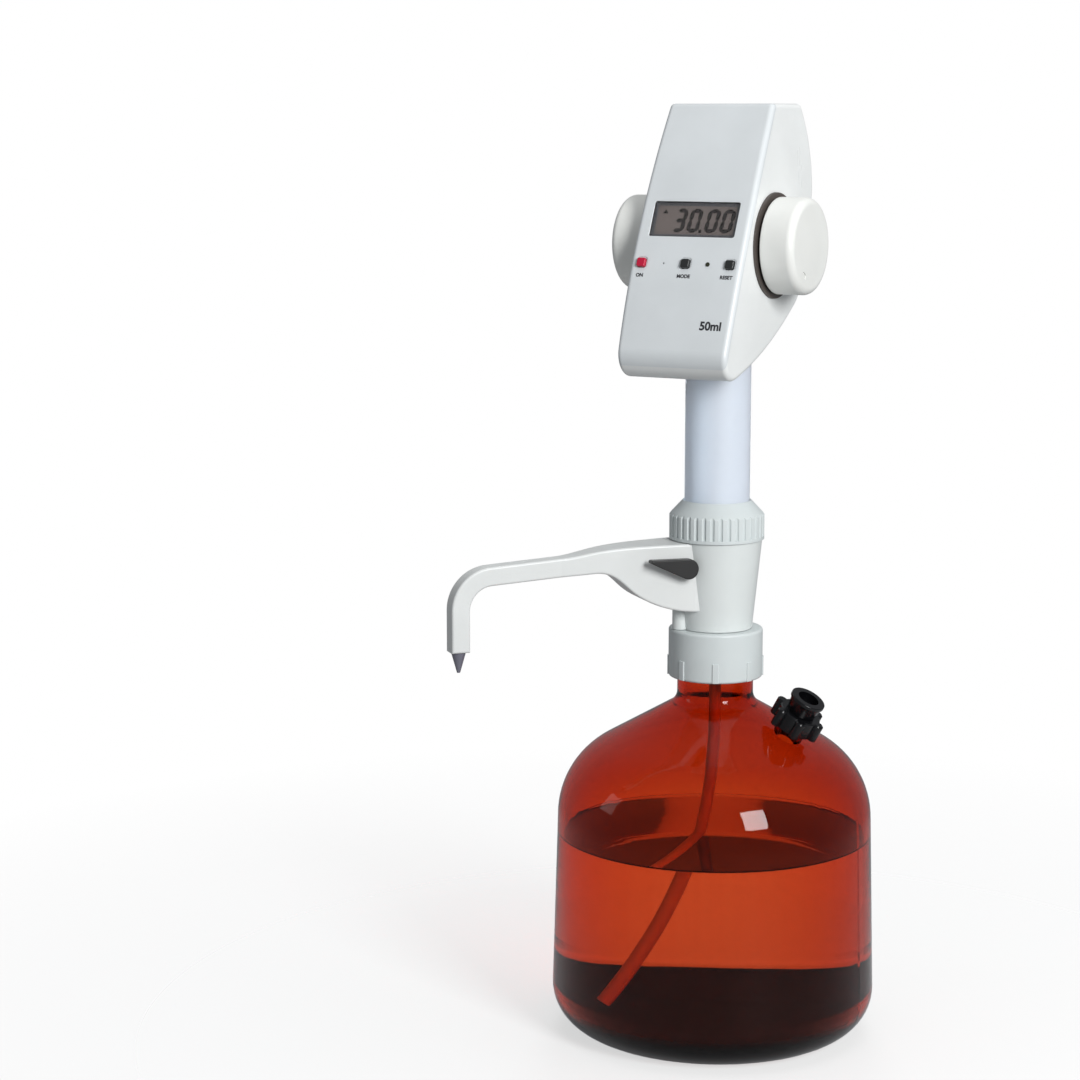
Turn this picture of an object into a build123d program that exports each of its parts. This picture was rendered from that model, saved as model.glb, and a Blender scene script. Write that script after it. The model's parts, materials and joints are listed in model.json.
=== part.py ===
from build123d import *
import os
from math import acos, asin, ceil, cos, degrees, hypot, pi, radians, sin, sqrt, tan

# A digital burette: a bottle-top burette with a geared piston drive, standing on
# its amber reservoir. Millimetres, +Z up, origin at the centre of the bottle's base.
# The head looks towards -Y, its two hand knobs stand out along X.

# Clearances
FLAT_GAP = 0.3          # between faces that turn past each other
RUNNING = 0.08          # radial, shaft in bush and column in its cup
SEAT = 0.1              # radial, pieces that plug together and stay
MATCH = 0.01            # how near a radius or a place has to be for an edge to be picked by it

# Reservoir bottle
HEEL_RADIUS = 81.0      # widest part, just above the rounded heel
HEEL_ROUND = 22.0
BODY_TOP_RADIUS = 78.5
BODY_TOP_Z = 109.0
SHOULDER_ROUND = 44.0
SHOULDER_SLOPE = 30.0   # degrees, the straight part of the shoulder
NECK_RADIUS = 18.9
NECK_ROUND = 7.0
MOUTH_Z = 196.0
BOTTLE_WALL = 3.0
PUNT_DEPTH = 4.0        # hollow under the base
PUNT_BULGE = 0.75       # share of that depth at half its radius
STAND_WIDTH = 7.0       # ring that the bottle stands on
BEAD_HEIGHT = 2.2       # two lands that carry the collar's thread
BEAD_PITCH = 4.5
BEAD_PROUD = 1.2
BEAD_ROUND = 0.72

# Side port on the shoulder
PORT_AZIMUTH = -6.0     # degrees from +X
PORT_TILT = 30.0        # degrees from upright
PORT_FOOT_RADIUS = 42.0
PORT_NECK_RADIUS = 7.5
PORT_BORE = 5.0
PORT_NECK_HEIGHT = 11.0
PORT_NUT_HEIGHT = 9.0
PORT_NUT_RADIUS = 10.6
PORT_LOBE_REACH = 13.6
PORT_LOBE_RADIUS = 2.6
PORT_LOBES = 6
PORT_NUT_WEB = 2.4
PORT_NUT_CHAMFER = 0.6
PORT_SEAL_THICK = 1.2
STOPPER_STEM_RADIUS = 4.6
STOPPER_STEM_LENGTH = 12.0
STOPPER_WAIST_RADIUS = 7.2
STOPPER_FLARE_RADIUS = 8.2
STOPPER_RIM_RADIUS = 8.8
STOPPER_CONE_HEIGHT = 6.0
STOPPER_RIM_HEIGHT = 2.0
STOPPER_RIM_ROUND = 0.4
STOPPER_SOCKET_RADIUS = 5.4
STOPPER_SOCKET_DEPTH = 4.5

# Screw collar and neck gasket
COLLAR_RADIUS = 23.4
COLLAR_HEIGHT = 24.5
COLLAR_WEB = 3.0
COLLAR_ROUND = 1.2
COLLAR_RIBS = 8
COLLAR_RIB_WIDTH = 3.2
COLLAR_RIB_HEIGHT = 9.5
COLLAR_RIB_PROUD = 0.5
COLLAR_RIB_ROUND = 0.4
COLLAR_RIB_TURN = 22.5   # degrees from the spout to the first rib
GASKET_THICK = 1.5
GASKET_BORE = 9.0

# Valve body
FLANGE_RADIUS = 18.4
FLANGE_THICK = 4.5
VALVE_NECK_RADIUS = 14.2
CONE_FOOT_RADIUS = 18.0
CONE_TOP_RADIUS = 22.5
CONE_TOP_Z = 249.6
THREAD_NECK_RADIUS = 19.4
THREAD_NECK_HEIGHT = 11.4
CUP_FLOOR_Z = 244.0
SPIGOT_RADIUS = 6.0
SPIGOT_LENGTH = 11.0
CHANNEL_RADIUS = 1.5
BALL_RADIUS = 3.0
BALL_SPACE = 0.6        # radial, round each valve ball
BALL_LIFT = 1.5
SEAT_RING_HEIGHT = 3.0
SEAT_STEP = 1.4
OUTLET_SEAT_SPACE = 2.5  # from the upright channel to the outlet ball's seat
SEAT_SHARE = 0.85       # radius of the seat's mouth against the ball's
INLET_SEAT_Z = 207.0
RETURN_BOSS_RADIUS = 4.0
RETURN_BOSS_REACH = 19.0
RETURN_BOSS_TOP = 226.0

# Spout arm, measured outwards from the column's axis
SPOUT_AZIMUTH = 228.0   # degrees from +X
SPOUT_Z = 238.0
ARM_REACH = 134.0
ARM_TIP_Z = 201.0
ARM_DEPTH = 9.2         # in the plane of the arm
ARM_WIDTH = 10.0
ARM_ROOT_WIDTH = 26.0
ARM_ROOT_TOP_Z = 249.4
ARM_ROOT_FOOT_Z = 215.4
ARM_ROOT_SINK = 2.0      # how far the root reaches into the valve body
ARM_ROOT_FLAT = 13.0     # level part of the root's top
ARM_ROOT_SLOPE = 0.02    # slope of the top where it leaves the level part
ARM_TAPER_START = 6.0    # from the root's end to where its sides draw in
ARM_BELLY = ((47.0, 226.0), (26.6, 216.8))  # reach and height of two points on the hollow underside
ARM_KNEE = 66.0         # where the deep root ends
ARM_KNEE_TOP_Z = 247.0
ARM_SHOULDER = 83.0     # where the top of the root meets the slim part
ARM_BEND = 16.5         # radius of the bend's middle line
ARM_LINE_Z = 239.8      # middle line at the shoulder
ARM_FALL = 3.6          # degrees, slope of the slim part
ARM_EDGE_ROUND = 1.1
ARM_CROSS_SHARE = 0.7    # an edge counts as lying across the arm above this share of its length
DISCHARGE_RADIUS = 2.4
DISCHARGE_BORE = 1.4
JET_LENGTH = 10.2
JET_RADIUS = 3.4
JET_TIP_RADIUS = 0.8
JET_NECK = 1.0          # straight part under the arm, before the taper
JET_PLUG = 6.0

# Stopcock in the arm's root
PLUG_REACH = 21.8
PLUG_RADIUS = 4.2
LEVER_FACE = 14.2       # from the arm's middle plane to the lever
LEVER_THICK = 4.4
LEVER_EDGE_ROUND = 0.6
LEVER_RADIUS = 5.0
LEVER_LENGTH = 19.4     # centre to point
LEVER_RISE = 13.0       # degrees, point above level
LEVER_TIP_RADIUS = 0.9
RETAINER_RADIUS = 5.2
RETAINER_THICK = 1.6
RETAINER_ROUND = 0.6

# Dip tube
DIP_RADIUS = 3.0
DIP_BORE = 2.0
DIP_AZIMUTH = 208.0
DIP_STRAIGHT_Z = 160.0
DIP_BEND = 275.0
DIP_END_Z = 15.0
DIP_SOCKET = 8.0

# Column: glass barrel in a clear sleeve
BORE_RADIUS = 13.7
BARREL_WALL = 1.1
SLEEVE_WALL = 1.1
SLEEVE_GAP = 0.2
SLEEVE_TOP_Z = 360.3
SLEEVE_FLANGE_THICK = 1.2
BARREL_TOP_Z = 347.0
BARREL_SEAL_THICK = 1.2
VOLUME_ML = 50.0

# Lock ring
LOCK_RADIUS = 23.5
LOCK_TOP_Z = 269.0
LOCK_SHOULDER_Z = 263.0
LOCK_SHOULDER_RADIUS = 22.6
LOCK_BEVEL = 1.2        # height of the slope from the shoulder to the flutes
LOCK_LIP = 0.9
LOCK_BAND = 1.6         # plain band under the flutes
LOCK_FLUTES = 36
LOCK_FLUTE_RADIUS = 1.15
LOCK_FLUTE_OUT = 0.29    # from the ring's outside to the flutes' centres

# Piston and rack
PISTON_LENGTH = 13.0
PISTON_GAP = 0.12
PISTON_REST_GAP = 1.0
SEAL_GROOVE = 1.6
SEAL_WIDTH = 2.4
FOOT_RADIUS = 12.0
FOOT_THICK = 3.0
RACK_WIDTH = 8.0
RACK_SPINE = 3.4        # thickness behind the roots
GUSSET_REACH = 7.0
GUSSET_RISE = 9.0
GUSSET_THICK = 2.5
SEAL_RUNNING = 0.04     # radial, the soft seal in the bore

# Geared drive
KNOB_Z = 394.5
MODULE = 1.0
PRESSURE_ANGLE = 20.0
PINION_TEETH = 14
DRIVE_TEETH = 32
BACKLASH = 0.2
GEAR_ADDENDUM = 0.95
RACK_ADDENDUM = 0.9
RACK_LEAD = 1.0          # straight end below the last tooth
RACK_RUN_OUT = 2.5      # height of the slope at that end
DEDENDUM = 1.25
FLANK_STEPS = 3         # straight steps along each curved flank
PINION_LEFT = -13.0     # the long pinion meets both the drive gear and the rack
PINION_RIGHT = 4.6
PINION_AXLE_RADIUS = 2.0
DRIVE_GEAR_LEFT = -12.8
DRIVE_GEAR_THICK = 5.0
GEAR_HUB_RADIUS = 6.0
GEAR_HUB_LENGTH = 2.4
GEAR_WINDOWS = 6
GEAR_WINDOW_RADIUS = 2.8
AXLE_OVERHANG = 0.8
SHAFT_RADIUS = 3.0

# Chassis inside the head
CHASSIS_FLOOR = 2.6
CHASSIS_HALF_WIDTH = 24.8
CHASSIS_FRONT = -18.0
CHASSIS_BACK = 15.0
CHASSIS_CORNER = 3.0
SPIGOT_WALL = 1.7
PLATE_THICK = 2.5
LEFT_PLATE_X = -18.4
RIGHT_PLATE_X = 8.0
PLATE_HALF_DEPTH = 9.0
GUIDE_WALL = 2.2
GUIDE_DEPTH = 3.4       # how far its cheeks reach round the rack
GUIDE_TOP_Z = 386.0
LEDGE_WIDTH = 5.0       # ledges inside the casing that carry the chassis
LEDGE_FRONT = -14.0
LEDGE_BACK = 8.0
CHASSIS_SCREW_X = 22.4
CHASSIS_SCREW_Y = (-11.0, 5.0)
CHASSIS_SCREW_HEAD = 2.1
CHASSIS_SCREW_RISE = 1.4
CHASSIS_SCREW_SHANK = 1.0
CHASSIS_SCREW_BITE = 5.0

# Head casing, side view points (Y, Z)
HEAD_TOP_Z = 462.0
HEAD_TOP_FRONT_Y = 0.2
HEAD_TOP_BACK_Y = 32.9
HEAD_TIP_Y = -58.2
HEAD_TIP_Z = 328.5
HEAD_HEEL_Y = 32.0
HEAD_HEEL_Z = 368.6
HEAD_BACK_Y = 46.0
HEAD_BACK_Z = 417.4
FRONT_BULGE = 4.8
UNDER_BULGE = 6.0
BACK_BULGE = 4.0
TIP_ROUND = 11.0
HEEL_CORNER_ROUND = 22.0
BACK_CORNER_ROUND = 25.0
TOP_BACK_ROUND = 3.5
TOP_FRONT_ROUND = 2.6
HEAD_HALF_TOP = 27.7
HEAD_HALF_MIDDLE = 29.3
HEAD_HALF_FOOT = 27.8
HEAD_MIDDLE_Z = 405.0
HEAD_FOOT_Z = 318.0
HEAD_WALL = 2.5
HEAD_INNER_HALF = 25.6
PANEL_THICK = 3.2
CREASE_ROUND = 2.4
INNER_ROUND = 1.0       # smallest corner inside the casing
SEAM_REACH = 15.0       # how far the seam's cut runs past the casing's corners

# Display, keys and board, measured up the slope of the front panel from its middle
LCD_UP = 11.4
LCD_WIDTH = 45.4
LCD_HEIGHT = 18.2
LCD_CORNER = 1.2
LCD_RECESS = 0.9
LENS_THICK = 1.2
LENS_LEDGE = 1.2
MODULE_BORDER = 2.4
MODULE_SETBACK = 3.3
MODULE_THICK = 4.0
MODULE_LEG = 1.2
KEY_UP = -11.3
KEY_PITCH = 23.3
KEY_SIZE = 4.4
KEY_CORNER = 0.9
KEY_PROUD = 1.3
KEY_GAP = 0.25
KEY_FLANGE = 1.2        # wider than the key on each side
KEY_FLANGE_THICK = 1.1
KEY_TRAVEL = 0.8
KEY_TOP_ROUND = 0.5
KEY_BEZEL = 0.9         # width of the shallow rebate round each key
KEY_BEZEL_DEPTH = 0.35
SWITCH_SIZE = 4.4
SWITCH_BODY = 3.2
SWITCH_TOP = 4.6        # height of the switch's plunger over the board
SWITCH_PLUNGER = 1.1
KEY_STEM = 1.3
LED_RADIUS = 1.1
LED_PROUD = 0.25
PINHOLE_RADIUS = 0.5
BOARD_SETBACK = 10.5
BOARD_THICK = 1.6
BOARD_WIDTH = 51.0
BOARD_FOOT_UP = -24.0
BOARD_TOP_UP = 30.0
BOARD_CORNER = 1.5
POST_RADIUS = 2.4
POST_INSET = 3.6
POST_SCREW_SHANK = 0.9
POST_SCREW_HEAD = 1.8
POST_SCREW_RISE = 1.2
POST_SCREW_BITE = 5.0

# Battery bay in the back of the head
CELL_RADIUS = 5.25
CELL_LENGTH = 44.5
CELL_PITCH = 11.0
CELL_GAP = 0.4
CELL_NUB_RADIUS = 1.9
CELL_NUB_HEIGHT = 0.9
BAY_WIDTH = 47.4
BAY_HEIGHT = 23.0
TRAY_WALL = 1.0
COVER_WIDTH = 49.0
COVER_HEIGHT = 27.0
COVER_THICK = 1.4
COVER_CORNER = 1.5
COVER_GAP = 0.3
COVER_GRIPS = 5
COVER_GRIP_LENGTH = 14.0
COVER_GRIP_WIDTH = 0.9
COVER_GRIP_PITCH = 2.0
COVER_GRIP_DEPTH = 0.5
COVER_GRIP_UP = 6.5

# Case screws
SCREW_X = 21.4
UPPER_SCREW_Z = 445.0
LOWER_SCREW_Z = 351.0
UPPER_SPLIT_Y = 6.0     # where a boss of the front panel meets its pillar
LOWER_SPLIT_Y = -32.0
BOSS_LENGTH = 25.0      # long enough to reach the panel
BOSS_MARGIN = 0.15      # keeps the region round a boss clear of its own surface
PILLAR_RADIUS = 4.0
TUNNEL_RADIUS = 2.9
SCREW_HEAD_RADIUS = 2.6
SCREW_HEAD_HEIGHT = 2.0
SCREW_SHANK_RADIUS = 1.25
SCREW_FLOOR = 4.0
SCREW_BITE = 5.0

# Hand knobs
KNOB_RADIUS = 23.3
KNOB_INNER_X = 31.4
KNOB_OUTER_X = 48.4
KNOB_RIM_ROUND = 3.6
KNOB_INNER_ROUND = 0.8
KNOB_WALL = 2.6
KNOB_FACE = 3.0
KNOB_CORE_RADIUS = 6.4
KNOB_WEBS = 6
KNOB_WEB_THICK = 1.6
KNOB_WEB_SETBACK = 5.0
KNOB_WEB_TURN = 30.0    # degrees to the first web
KNOB_WEB_ROOT = 0.3     # how far each end of a web reaches into the core and the rim
KNOB_DIMPLE_REACH = 15.6
KNOB_DIMPLE_LENGTH = 5.0
KNOB_DIMPLE_WIDTH = 2.2
KNOB_DIMPLE_DEPTH = 0.6
KNOB_DIMPLE_ANGLE = 240.0
KNOB_RING_RADIUS = 25.4
KNOB_RING_INNER_X = 28.1
KNOB_RING_OUTER_X = 30.2
KNOB_RING_BORE = 5.5
BUSH_RADIUS = 5.0
BUSH_OUTER_X = 30.8
BUSH_FLANGE_RADIUS = 7.0
BUSH_FLANGE_THICK = 1.0
GRUB_RADIUS = 1.5
GRUB_LENGTH = 3.2
GRUB_SETBACK = 3.5      # from the knob's inner face
GRUB_ACCESS = 1.8

# Shaft encoder
ENCODER_X = 13.4
ENCODER_RADIUS = 13.0
ENCODER_THICK = 0.8
ENCODER_SLITS = 24
ENCODER_SLIT_INNER = 8.6
ENCODER_SLIT_OUTER = 11.6
ENCODER_SLIT_WIDTH = 0.9
ENCODER_HUB_RADIUS = 5.0
ENCODER_HUB_LENGTH = 2.3
SENSOR_WIDTH = 6.0
SENSOR_HEIGHT = 9.0
SENSOR_BITE = 3.6
SENSOR_SLOT = 1.8

# Sizes worked out from the ones above
STROKE = VOLUME_ML * 1000.0 / (pi * BORE_RADIUS**2)
BARREL_RADIUS = BORE_RADIUS + BARREL_WALL
SLEEVE_RADIUS = BARREL_RADIUS + SLEEVE_GAP + SLEEVE_WALL
BARREL_BASE_Z = CUP_FLOOR_Z + BARREL_SEAL_THICK
PISTON_Z = BARREL_BASE_Z + PISTON_REST_GAP
PISTON_TOP_Z = PISTON_Z + PISTON_LENGTH
PINION_PITCH = MODULE * PINION_TEETH / 2
DRIVE_PITCH = MODULE * DRIVE_TEETH / 2
PINION_Z = KNOB_Z - PINION_PITCH - DRIVE_PITCH
RACK_TOP_Z = PINION_Z + 2 * MODULE
TOOTH_PITCH = pi * MODULE
COLLAR_TOP_Z = MOUTH_Z + GASKET_THICK + FLANGE_THICK + COLLAR_WEB
COLLAR_FOOT_Z = COLLAR_TOP_Z - COLLAR_HEIGHT
CONE_FOOT_Z = COLLAR_TOP_Z + FLAT_GAP
FLANGE_FOOT_Z = MOUTH_Z + GASKET_THICK
THREAD_NECK_TOP_Z = CONE_TOP_Z + THREAD_NECK_HEIGHT
CUP_RADIUS = SLEEVE_RADIUS + RUNNING
BALL_CHAMBER = BALL_RADIUS + BALL_SPACE
CHASSIS_Z = SLEEVE_TOP_Z

# Directions and planes
spout_plane = Plane.XZ.rotated((0, 0, SPOUT_AZIMUTH))
dip_plane = Plane.XZ.rotated((0, 0, DIP_AZIMUTH))
shoulder_end_angle = 90.0 - SHOULDER_SLOPE
shoulder_centre_radius = BODY_TOP_RADIUS - SHOULDER_ROUND
shoulder_end_radius = shoulder_centre_radius + SHOULDER_ROUND * cos(radians(shoulder_end_angle))
shoulder_end_z = BODY_TOP_Z + SHOULDER_ROUND * sin(radians(shoulder_end_angle))


def shoulder_z(radius):
    """Height of the bottle's straight shoulder at a distance from the axis."""
    return shoulder_end_z + (shoulder_end_radius - radius) * tan(radians(SHOULDER_SLOPE))


port_axis = Vector(0, 0, 1).rotate(Axis.Y, PORT_TILT).rotate(Axis.Z, PORT_AZIMUTH)
port_foot = Vector(PORT_FOOT_RADIUS, 0, shoulder_z(PORT_FOOT_RADIUS)).rotate(Axis.Z, PORT_AZIMUTH)
port_plane = Plane(origin=port_foot, z_dir=port_axis)

front_chord = Vector(0, HEAD_TOP_FRONT_Y - HEAD_TIP_Y, HEAD_TOP_Z - HEAD_TIP_Z)
panel_up = front_chord.normalized()
panel_out = Vector(1, 0, 0).cross(panel_up)
panel_middle = (
    Vector(0, (HEAD_TOP_FRONT_Y + HEAD_TIP_Y) / 2, (HEAD_TOP_Z + HEAD_TIP_Z) / 2) + panel_out * FRONT_BULGE
)
panel_plane = Plane(origin=panel_middle, x_dir=(1, 0, 0), z_dir=panel_out)

back_up = Vector(0, HEAD_BACK_Y - HEAD_HEEL_Y, HEAD_BACK_Z - HEAD_HEEL_Z).normalized()
back_out = back_up.cross(Vector(1, 0, 0))
back_plane = Plane(
    origin=(0, (HEAD_BACK_Y + HEAD_HEEL_Y) / 2, (HEAD_BACK_Z + HEAD_HEEL_Z) / 2),
    x_dir=(-1, 0, 0),
    z_dir=back_out,
)

os.makedirs("parts", exist_ok=True)


# Reservoir bottle


def bottle_outline(inset, floor_middle, floor_edge):
    """Half outline of the bottle, moved inwards by inset, above the given floor."""
    heel = HEEL_ROUND - inset
    wide = HEEL_RADIUS - inset
    top = BODY_TOP_RADIUS - inset
    shoulder = SHOULDER_ROUND - inset
    neck = NECK_RADIUS - inset
    end = Vector(
        shoulder_centre_radius + shoulder * cos(radians(shoulder_end_angle)),
        BODY_TOP_Z + shoulder * sin(radians(shoulder_end_angle)),
    )
    corner = Vector(neck, end.Y + (end.X - neck) * tan(radians(SHOULDER_SLOPE)))
    foot = wide - heel
    Line((0, floor_middle), (foot, floor_edge))
    ThreePointArc(
        (foot, floor_edge),
        (foot + heel * sin(pi / 4), floor_edge + heel * (1 - cos(pi / 4))),
        (wide, floor_edge + heel),
    )
    Line((wide, floor_edge + heel), (top, BODY_TOP_Z))
    ThreePointArc(
        (top, BODY_TOP_Z),
        (
            shoulder_centre_radius + shoulder * cos(radians(shoulder_end_angle / 2)),
            BODY_TOP_Z + shoulder * sin(radians(shoulder_end_angle / 2)),
        ),
        end,
    )
    Polyline(end, corner, (neck, MOUTH_Z), (0, MOUTH_Z), (0, floor_middle))
    return corner


with BuildPart() as bottle:
    with BuildSketch(Plane.XZ) as outer_wall:
        with BuildLine():
            neck_corner = bottle_outline(0, 0, 0)
        make_face()
        fillet(outer_wall.vertices().sort_by_distance(neck_corner)[0], NECK_ROUND)
    revolve(axis=Axis.Z)
    for bead in range(2):
        with Locations((0, 0, MOUTH_Z - BEAD_PITCH * (bead + 1))):
            Cylinder(NECK_RADIUS + BEAD_PROUD, BEAD_HEIGHT)
    chamfer(bottle.edges().filter_by(GeomType.CIRCLE).filter_by(
        lambda e: abs(e.radius - NECK_RADIUS - BEAD_PROUD) < MATCH), BEAD_ROUND)
    with BuildSketch(port_plane.offset(-PORT_NECK_RADIUS)):
        Circle(PORT_NECK_RADIUS)
    extrude(amount=PORT_NECK_RADIUS + PORT_NECK_HEIGHT)
    with BuildSketch(Plane.XZ) as inner_wall:
        with BuildLine():
            inner_corner = bottle_outline(BOTTLE_WALL, PUNT_DEPTH + BOTTLE_WALL, BOTTLE_WALL)
        make_face()
        fillet(inner_wall.vertices().sort_by_distance(inner_corner)[0], NECK_ROUND)
    revolve(axis=Axis.Z, mode=Mode.SUBTRACT)
    with BuildSketch(port_plane.offset(-PORT_NECK_RADIUS - BOTTLE_WALL)):
        Circle(PORT_BORE)
    extrude(amount=PORT_NECK_RADIUS + BOTTLE_WALL + PORT_NECK_HEIGHT, mode=Mode.SUBTRACT)
    punt_edge = HEEL_RADIUS - HEEL_ROUND - STAND_WIDTH
    with BuildSketch(Plane.XZ):
        with BuildLine():
            ThreePointArc((0, PUNT_DEPTH), (punt_edge / 2, PUNT_DEPTH * PUNT_BULGE), (punt_edge, 0))
            Polyline((punt_edge, 0), (0, 0), (0, PUNT_DEPTH))
        make_face()
    revolve(axis=Axis.Z, mode=Mode.SUBTRACT)
bottle.part.label = "bottle"
export_step(bottle.part, "parts/bottle.step")


# Black side port: seal, lobed nut and stopper

nut_foot = PORT_NECK_HEIGHT + PORT_SEAL_THICK + PORT_NUT_WEB - PORT_NUT_HEIGHT
nut_top = nut_foot + PORT_NUT_HEIGHT

with BuildPart() as port_seal:
    with BuildSketch(port_plane.offset(PORT_NECK_HEIGHT)):
        Circle(PORT_NECK_RADIUS)
        Circle(PORT_BORE, mode=Mode.SUBTRACT)
    extrude(amount=PORT_SEAL_THICK)
port_seal.part.label = "port_seal"
export_step(port_seal.part, "parts/port_seal.step")

with BuildPart() as port_nut:
    with BuildSketch(port_plane.offset(nut_foot)):
        Circle(PORT_NUT_RADIUS)
        with PolarLocations(0, PORT_LOBES):
            with Locations(((PORT_LOBE_REACH - PORT_LOBE_RADIUS) / 2, 0)):
                Rectangle(PORT_LOBE_REACH - PORT_LOBE_RADIUS, 2 * PORT_LOBE_RADIUS)
        with PolarLocations(PORT_LOBE_REACH - PORT_LOBE_RADIUS, PORT_LOBES):
            Circle(PORT_LOBE_RADIUS)
    extrude(amount=PORT_NUT_HEIGHT)
    chamfer(port_nut.faces().sort_by(Axis(port_foot, port_axis))[-1].edges(), PORT_NUT_CHAMFER)
    with BuildSketch(port_plane.offset(nut_foot)):
        Circle(PORT_NECK_RADIUS + FLAT_GAP)
    extrude(amount=PORT_NUT_HEIGHT - PORT_NUT_WEB, mode=Mode.SUBTRACT)
    with BuildSketch(port_plane.offset(nut_foot)):
        Circle(STOPPER_STEM_RADIUS + FLAT_GAP)
    extrude(amount=PORT_NUT_HEIGHT, mode=Mode.SUBTRACT)
port_nut.part.label = "port_nut"
export_step(port_nut.part, "parts/port_nut.step")

with BuildPart() as port_stopper:
    with BuildSketch(Plane(origin=port_foot, x_dir=port_axis, z_dir=port_axis.cross(Vector(0, 0, 1)))):
        with BuildLine():
            foot = nut_top + FLAT_GAP
            cone_top = foot + STOPPER_CONE_HEIGHT
            rim_top = cone_top + STOPPER_RIM_HEIGHT
            Polyline(
                (foot - STOPPER_STEM_LENGTH, 0),
                (foot - STOPPER_STEM_LENGTH, STOPPER_STEM_RADIUS),
                (foot, STOPPER_STEM_RADIUS),
                (foot, STOPPER_WAIST_RADIUS),
                (cone_top, STOPPER_FLARE_RADIUS),
                (cone_top, STOPPER_RIM_RADIUS),
                (rim_top, STOPPER_RIM_RADIUS),
                (rim_top, STOPPER_SOCKET_RADIUS),
                (rim_top - STOPPER_SOCKET_DEPTH, STOPPER_SOCKET_RADIUS),
                (rim_top - STOPPER_SOCKET_DEPTH, 0),
                close=True,
            )
        make_face()
    revolve(axis=Axis(port_foot, port_axis))
    rim_edges = port_stopper.edges().filter_by(GeomType.CIRCLE).filter_by(
        lambda e: abs(e.radius - STOPPER_RIM_RADIUS) < MATCH)
    fillet(rim_edges, STOPPER_RIM_ROUND)
port_stopper.part.label = "port_stopper"
export_step(port_stopper.part, "parts/port_stopper.step")


# Screw collar and gasket

with BuildPart() as screw_collar:
    with Locations((0, 0, COLLAR_FOOT_Z)):
        Cylinder(COLLAR_RADIUS, COLLAR_HEIGHT, align=(Align.CENTER, Align.CENTER, Align.MIN))
    fillet(screw_collar.edges().filter_by(GeomType.CIRCLE), COLLAR_ROUND)
    with PolarLocations(COLLAR_RADIUS, COLLAR_RIBS, start_angle=SPOUT_AZIMUTH + COLLAR_RIB_TURN):
        with Locations((0, 0, COLLAR_FOOT_Z + COLLAR_RIB_PROUD)):
            Box(
                2 * COLLAR_RIB_PROUD,
                COLLAR_RIB_WIDTH,
                COLLAR_RIB_HEIGHT,
                align=(Align.CENTER, Align.CENTER, Align.MIN),
            )
    rib_corners = screw_collar.edges().filter_by(Axis.Z).filter_by(
        lambda e: hypot(e.center().X, e.center().Y) > COLLAR_RADIUS + COLLAR_RIB_PROUD / 2)
    fillet(rib_corners, COLLAR_RIB_ROUND)
    with Locations((0, 0, COLLAR_FOOT_Z)):
        Cylinder(
            NECK_RADIUS + BEAD_PROUD + FLAT_GAP,
            COLLAR_HEIGHT - COLLAR_WEB,
            align=(Align.CENTER, Align.CENTER, Align.MIN),
            mode=Mode.SUBTRACT,
        )
        Cylinder(
            VALVE_NECK_RADIUS + FLAT_GAP,
            COLLAR_HEIGHT,
            align=(Align.CENTER, Align.CENTER, Align.MIN),
            mode=Mode.SUBTRACT,
        )
screw_collar.part.label = "screw_collar"
export_step(screw_collar.part, "parts/screw_collar.step")

with BuildPart() as neck_gasket:
    with BuildSketch(Plane.XY.offset(MOUTH_Z)):
        Circle(FLANGE_RADIUS)
        Circle(GASKET_BORE, mode=Mode.SUBTRACT)
    extrude(amount=GASKET_THICK)
neck_gasket.part.label = "neck_gasket"
export_step(neck_gasket.part, "parts/neck_gasket.step")


# Valve body

inlet_roof_z = INLET_SEAT_Z + SEAT_RING_HEIGHT + 2 * BALL_RADIUS + BALL_LIFT
outlet_seat_reach = CHANNEL_RADIUS + OUTLET_SEAT_SPACE
outlet_end_reach = outlet_seat_reach + SEAT_RING_HEIGHT + 2 * BALL_RADIUS + BALL_LIFT


def spout_disc_plane(reach):
    """Upright plane square to the spout, at a distance from the column's axis."""
    origin = spout_plane.from_local_coords(Vector(reach, SPOUT_Z, 0))
    return Plane(origin=origin, z_dir=spout_plane.x_dir)


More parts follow.
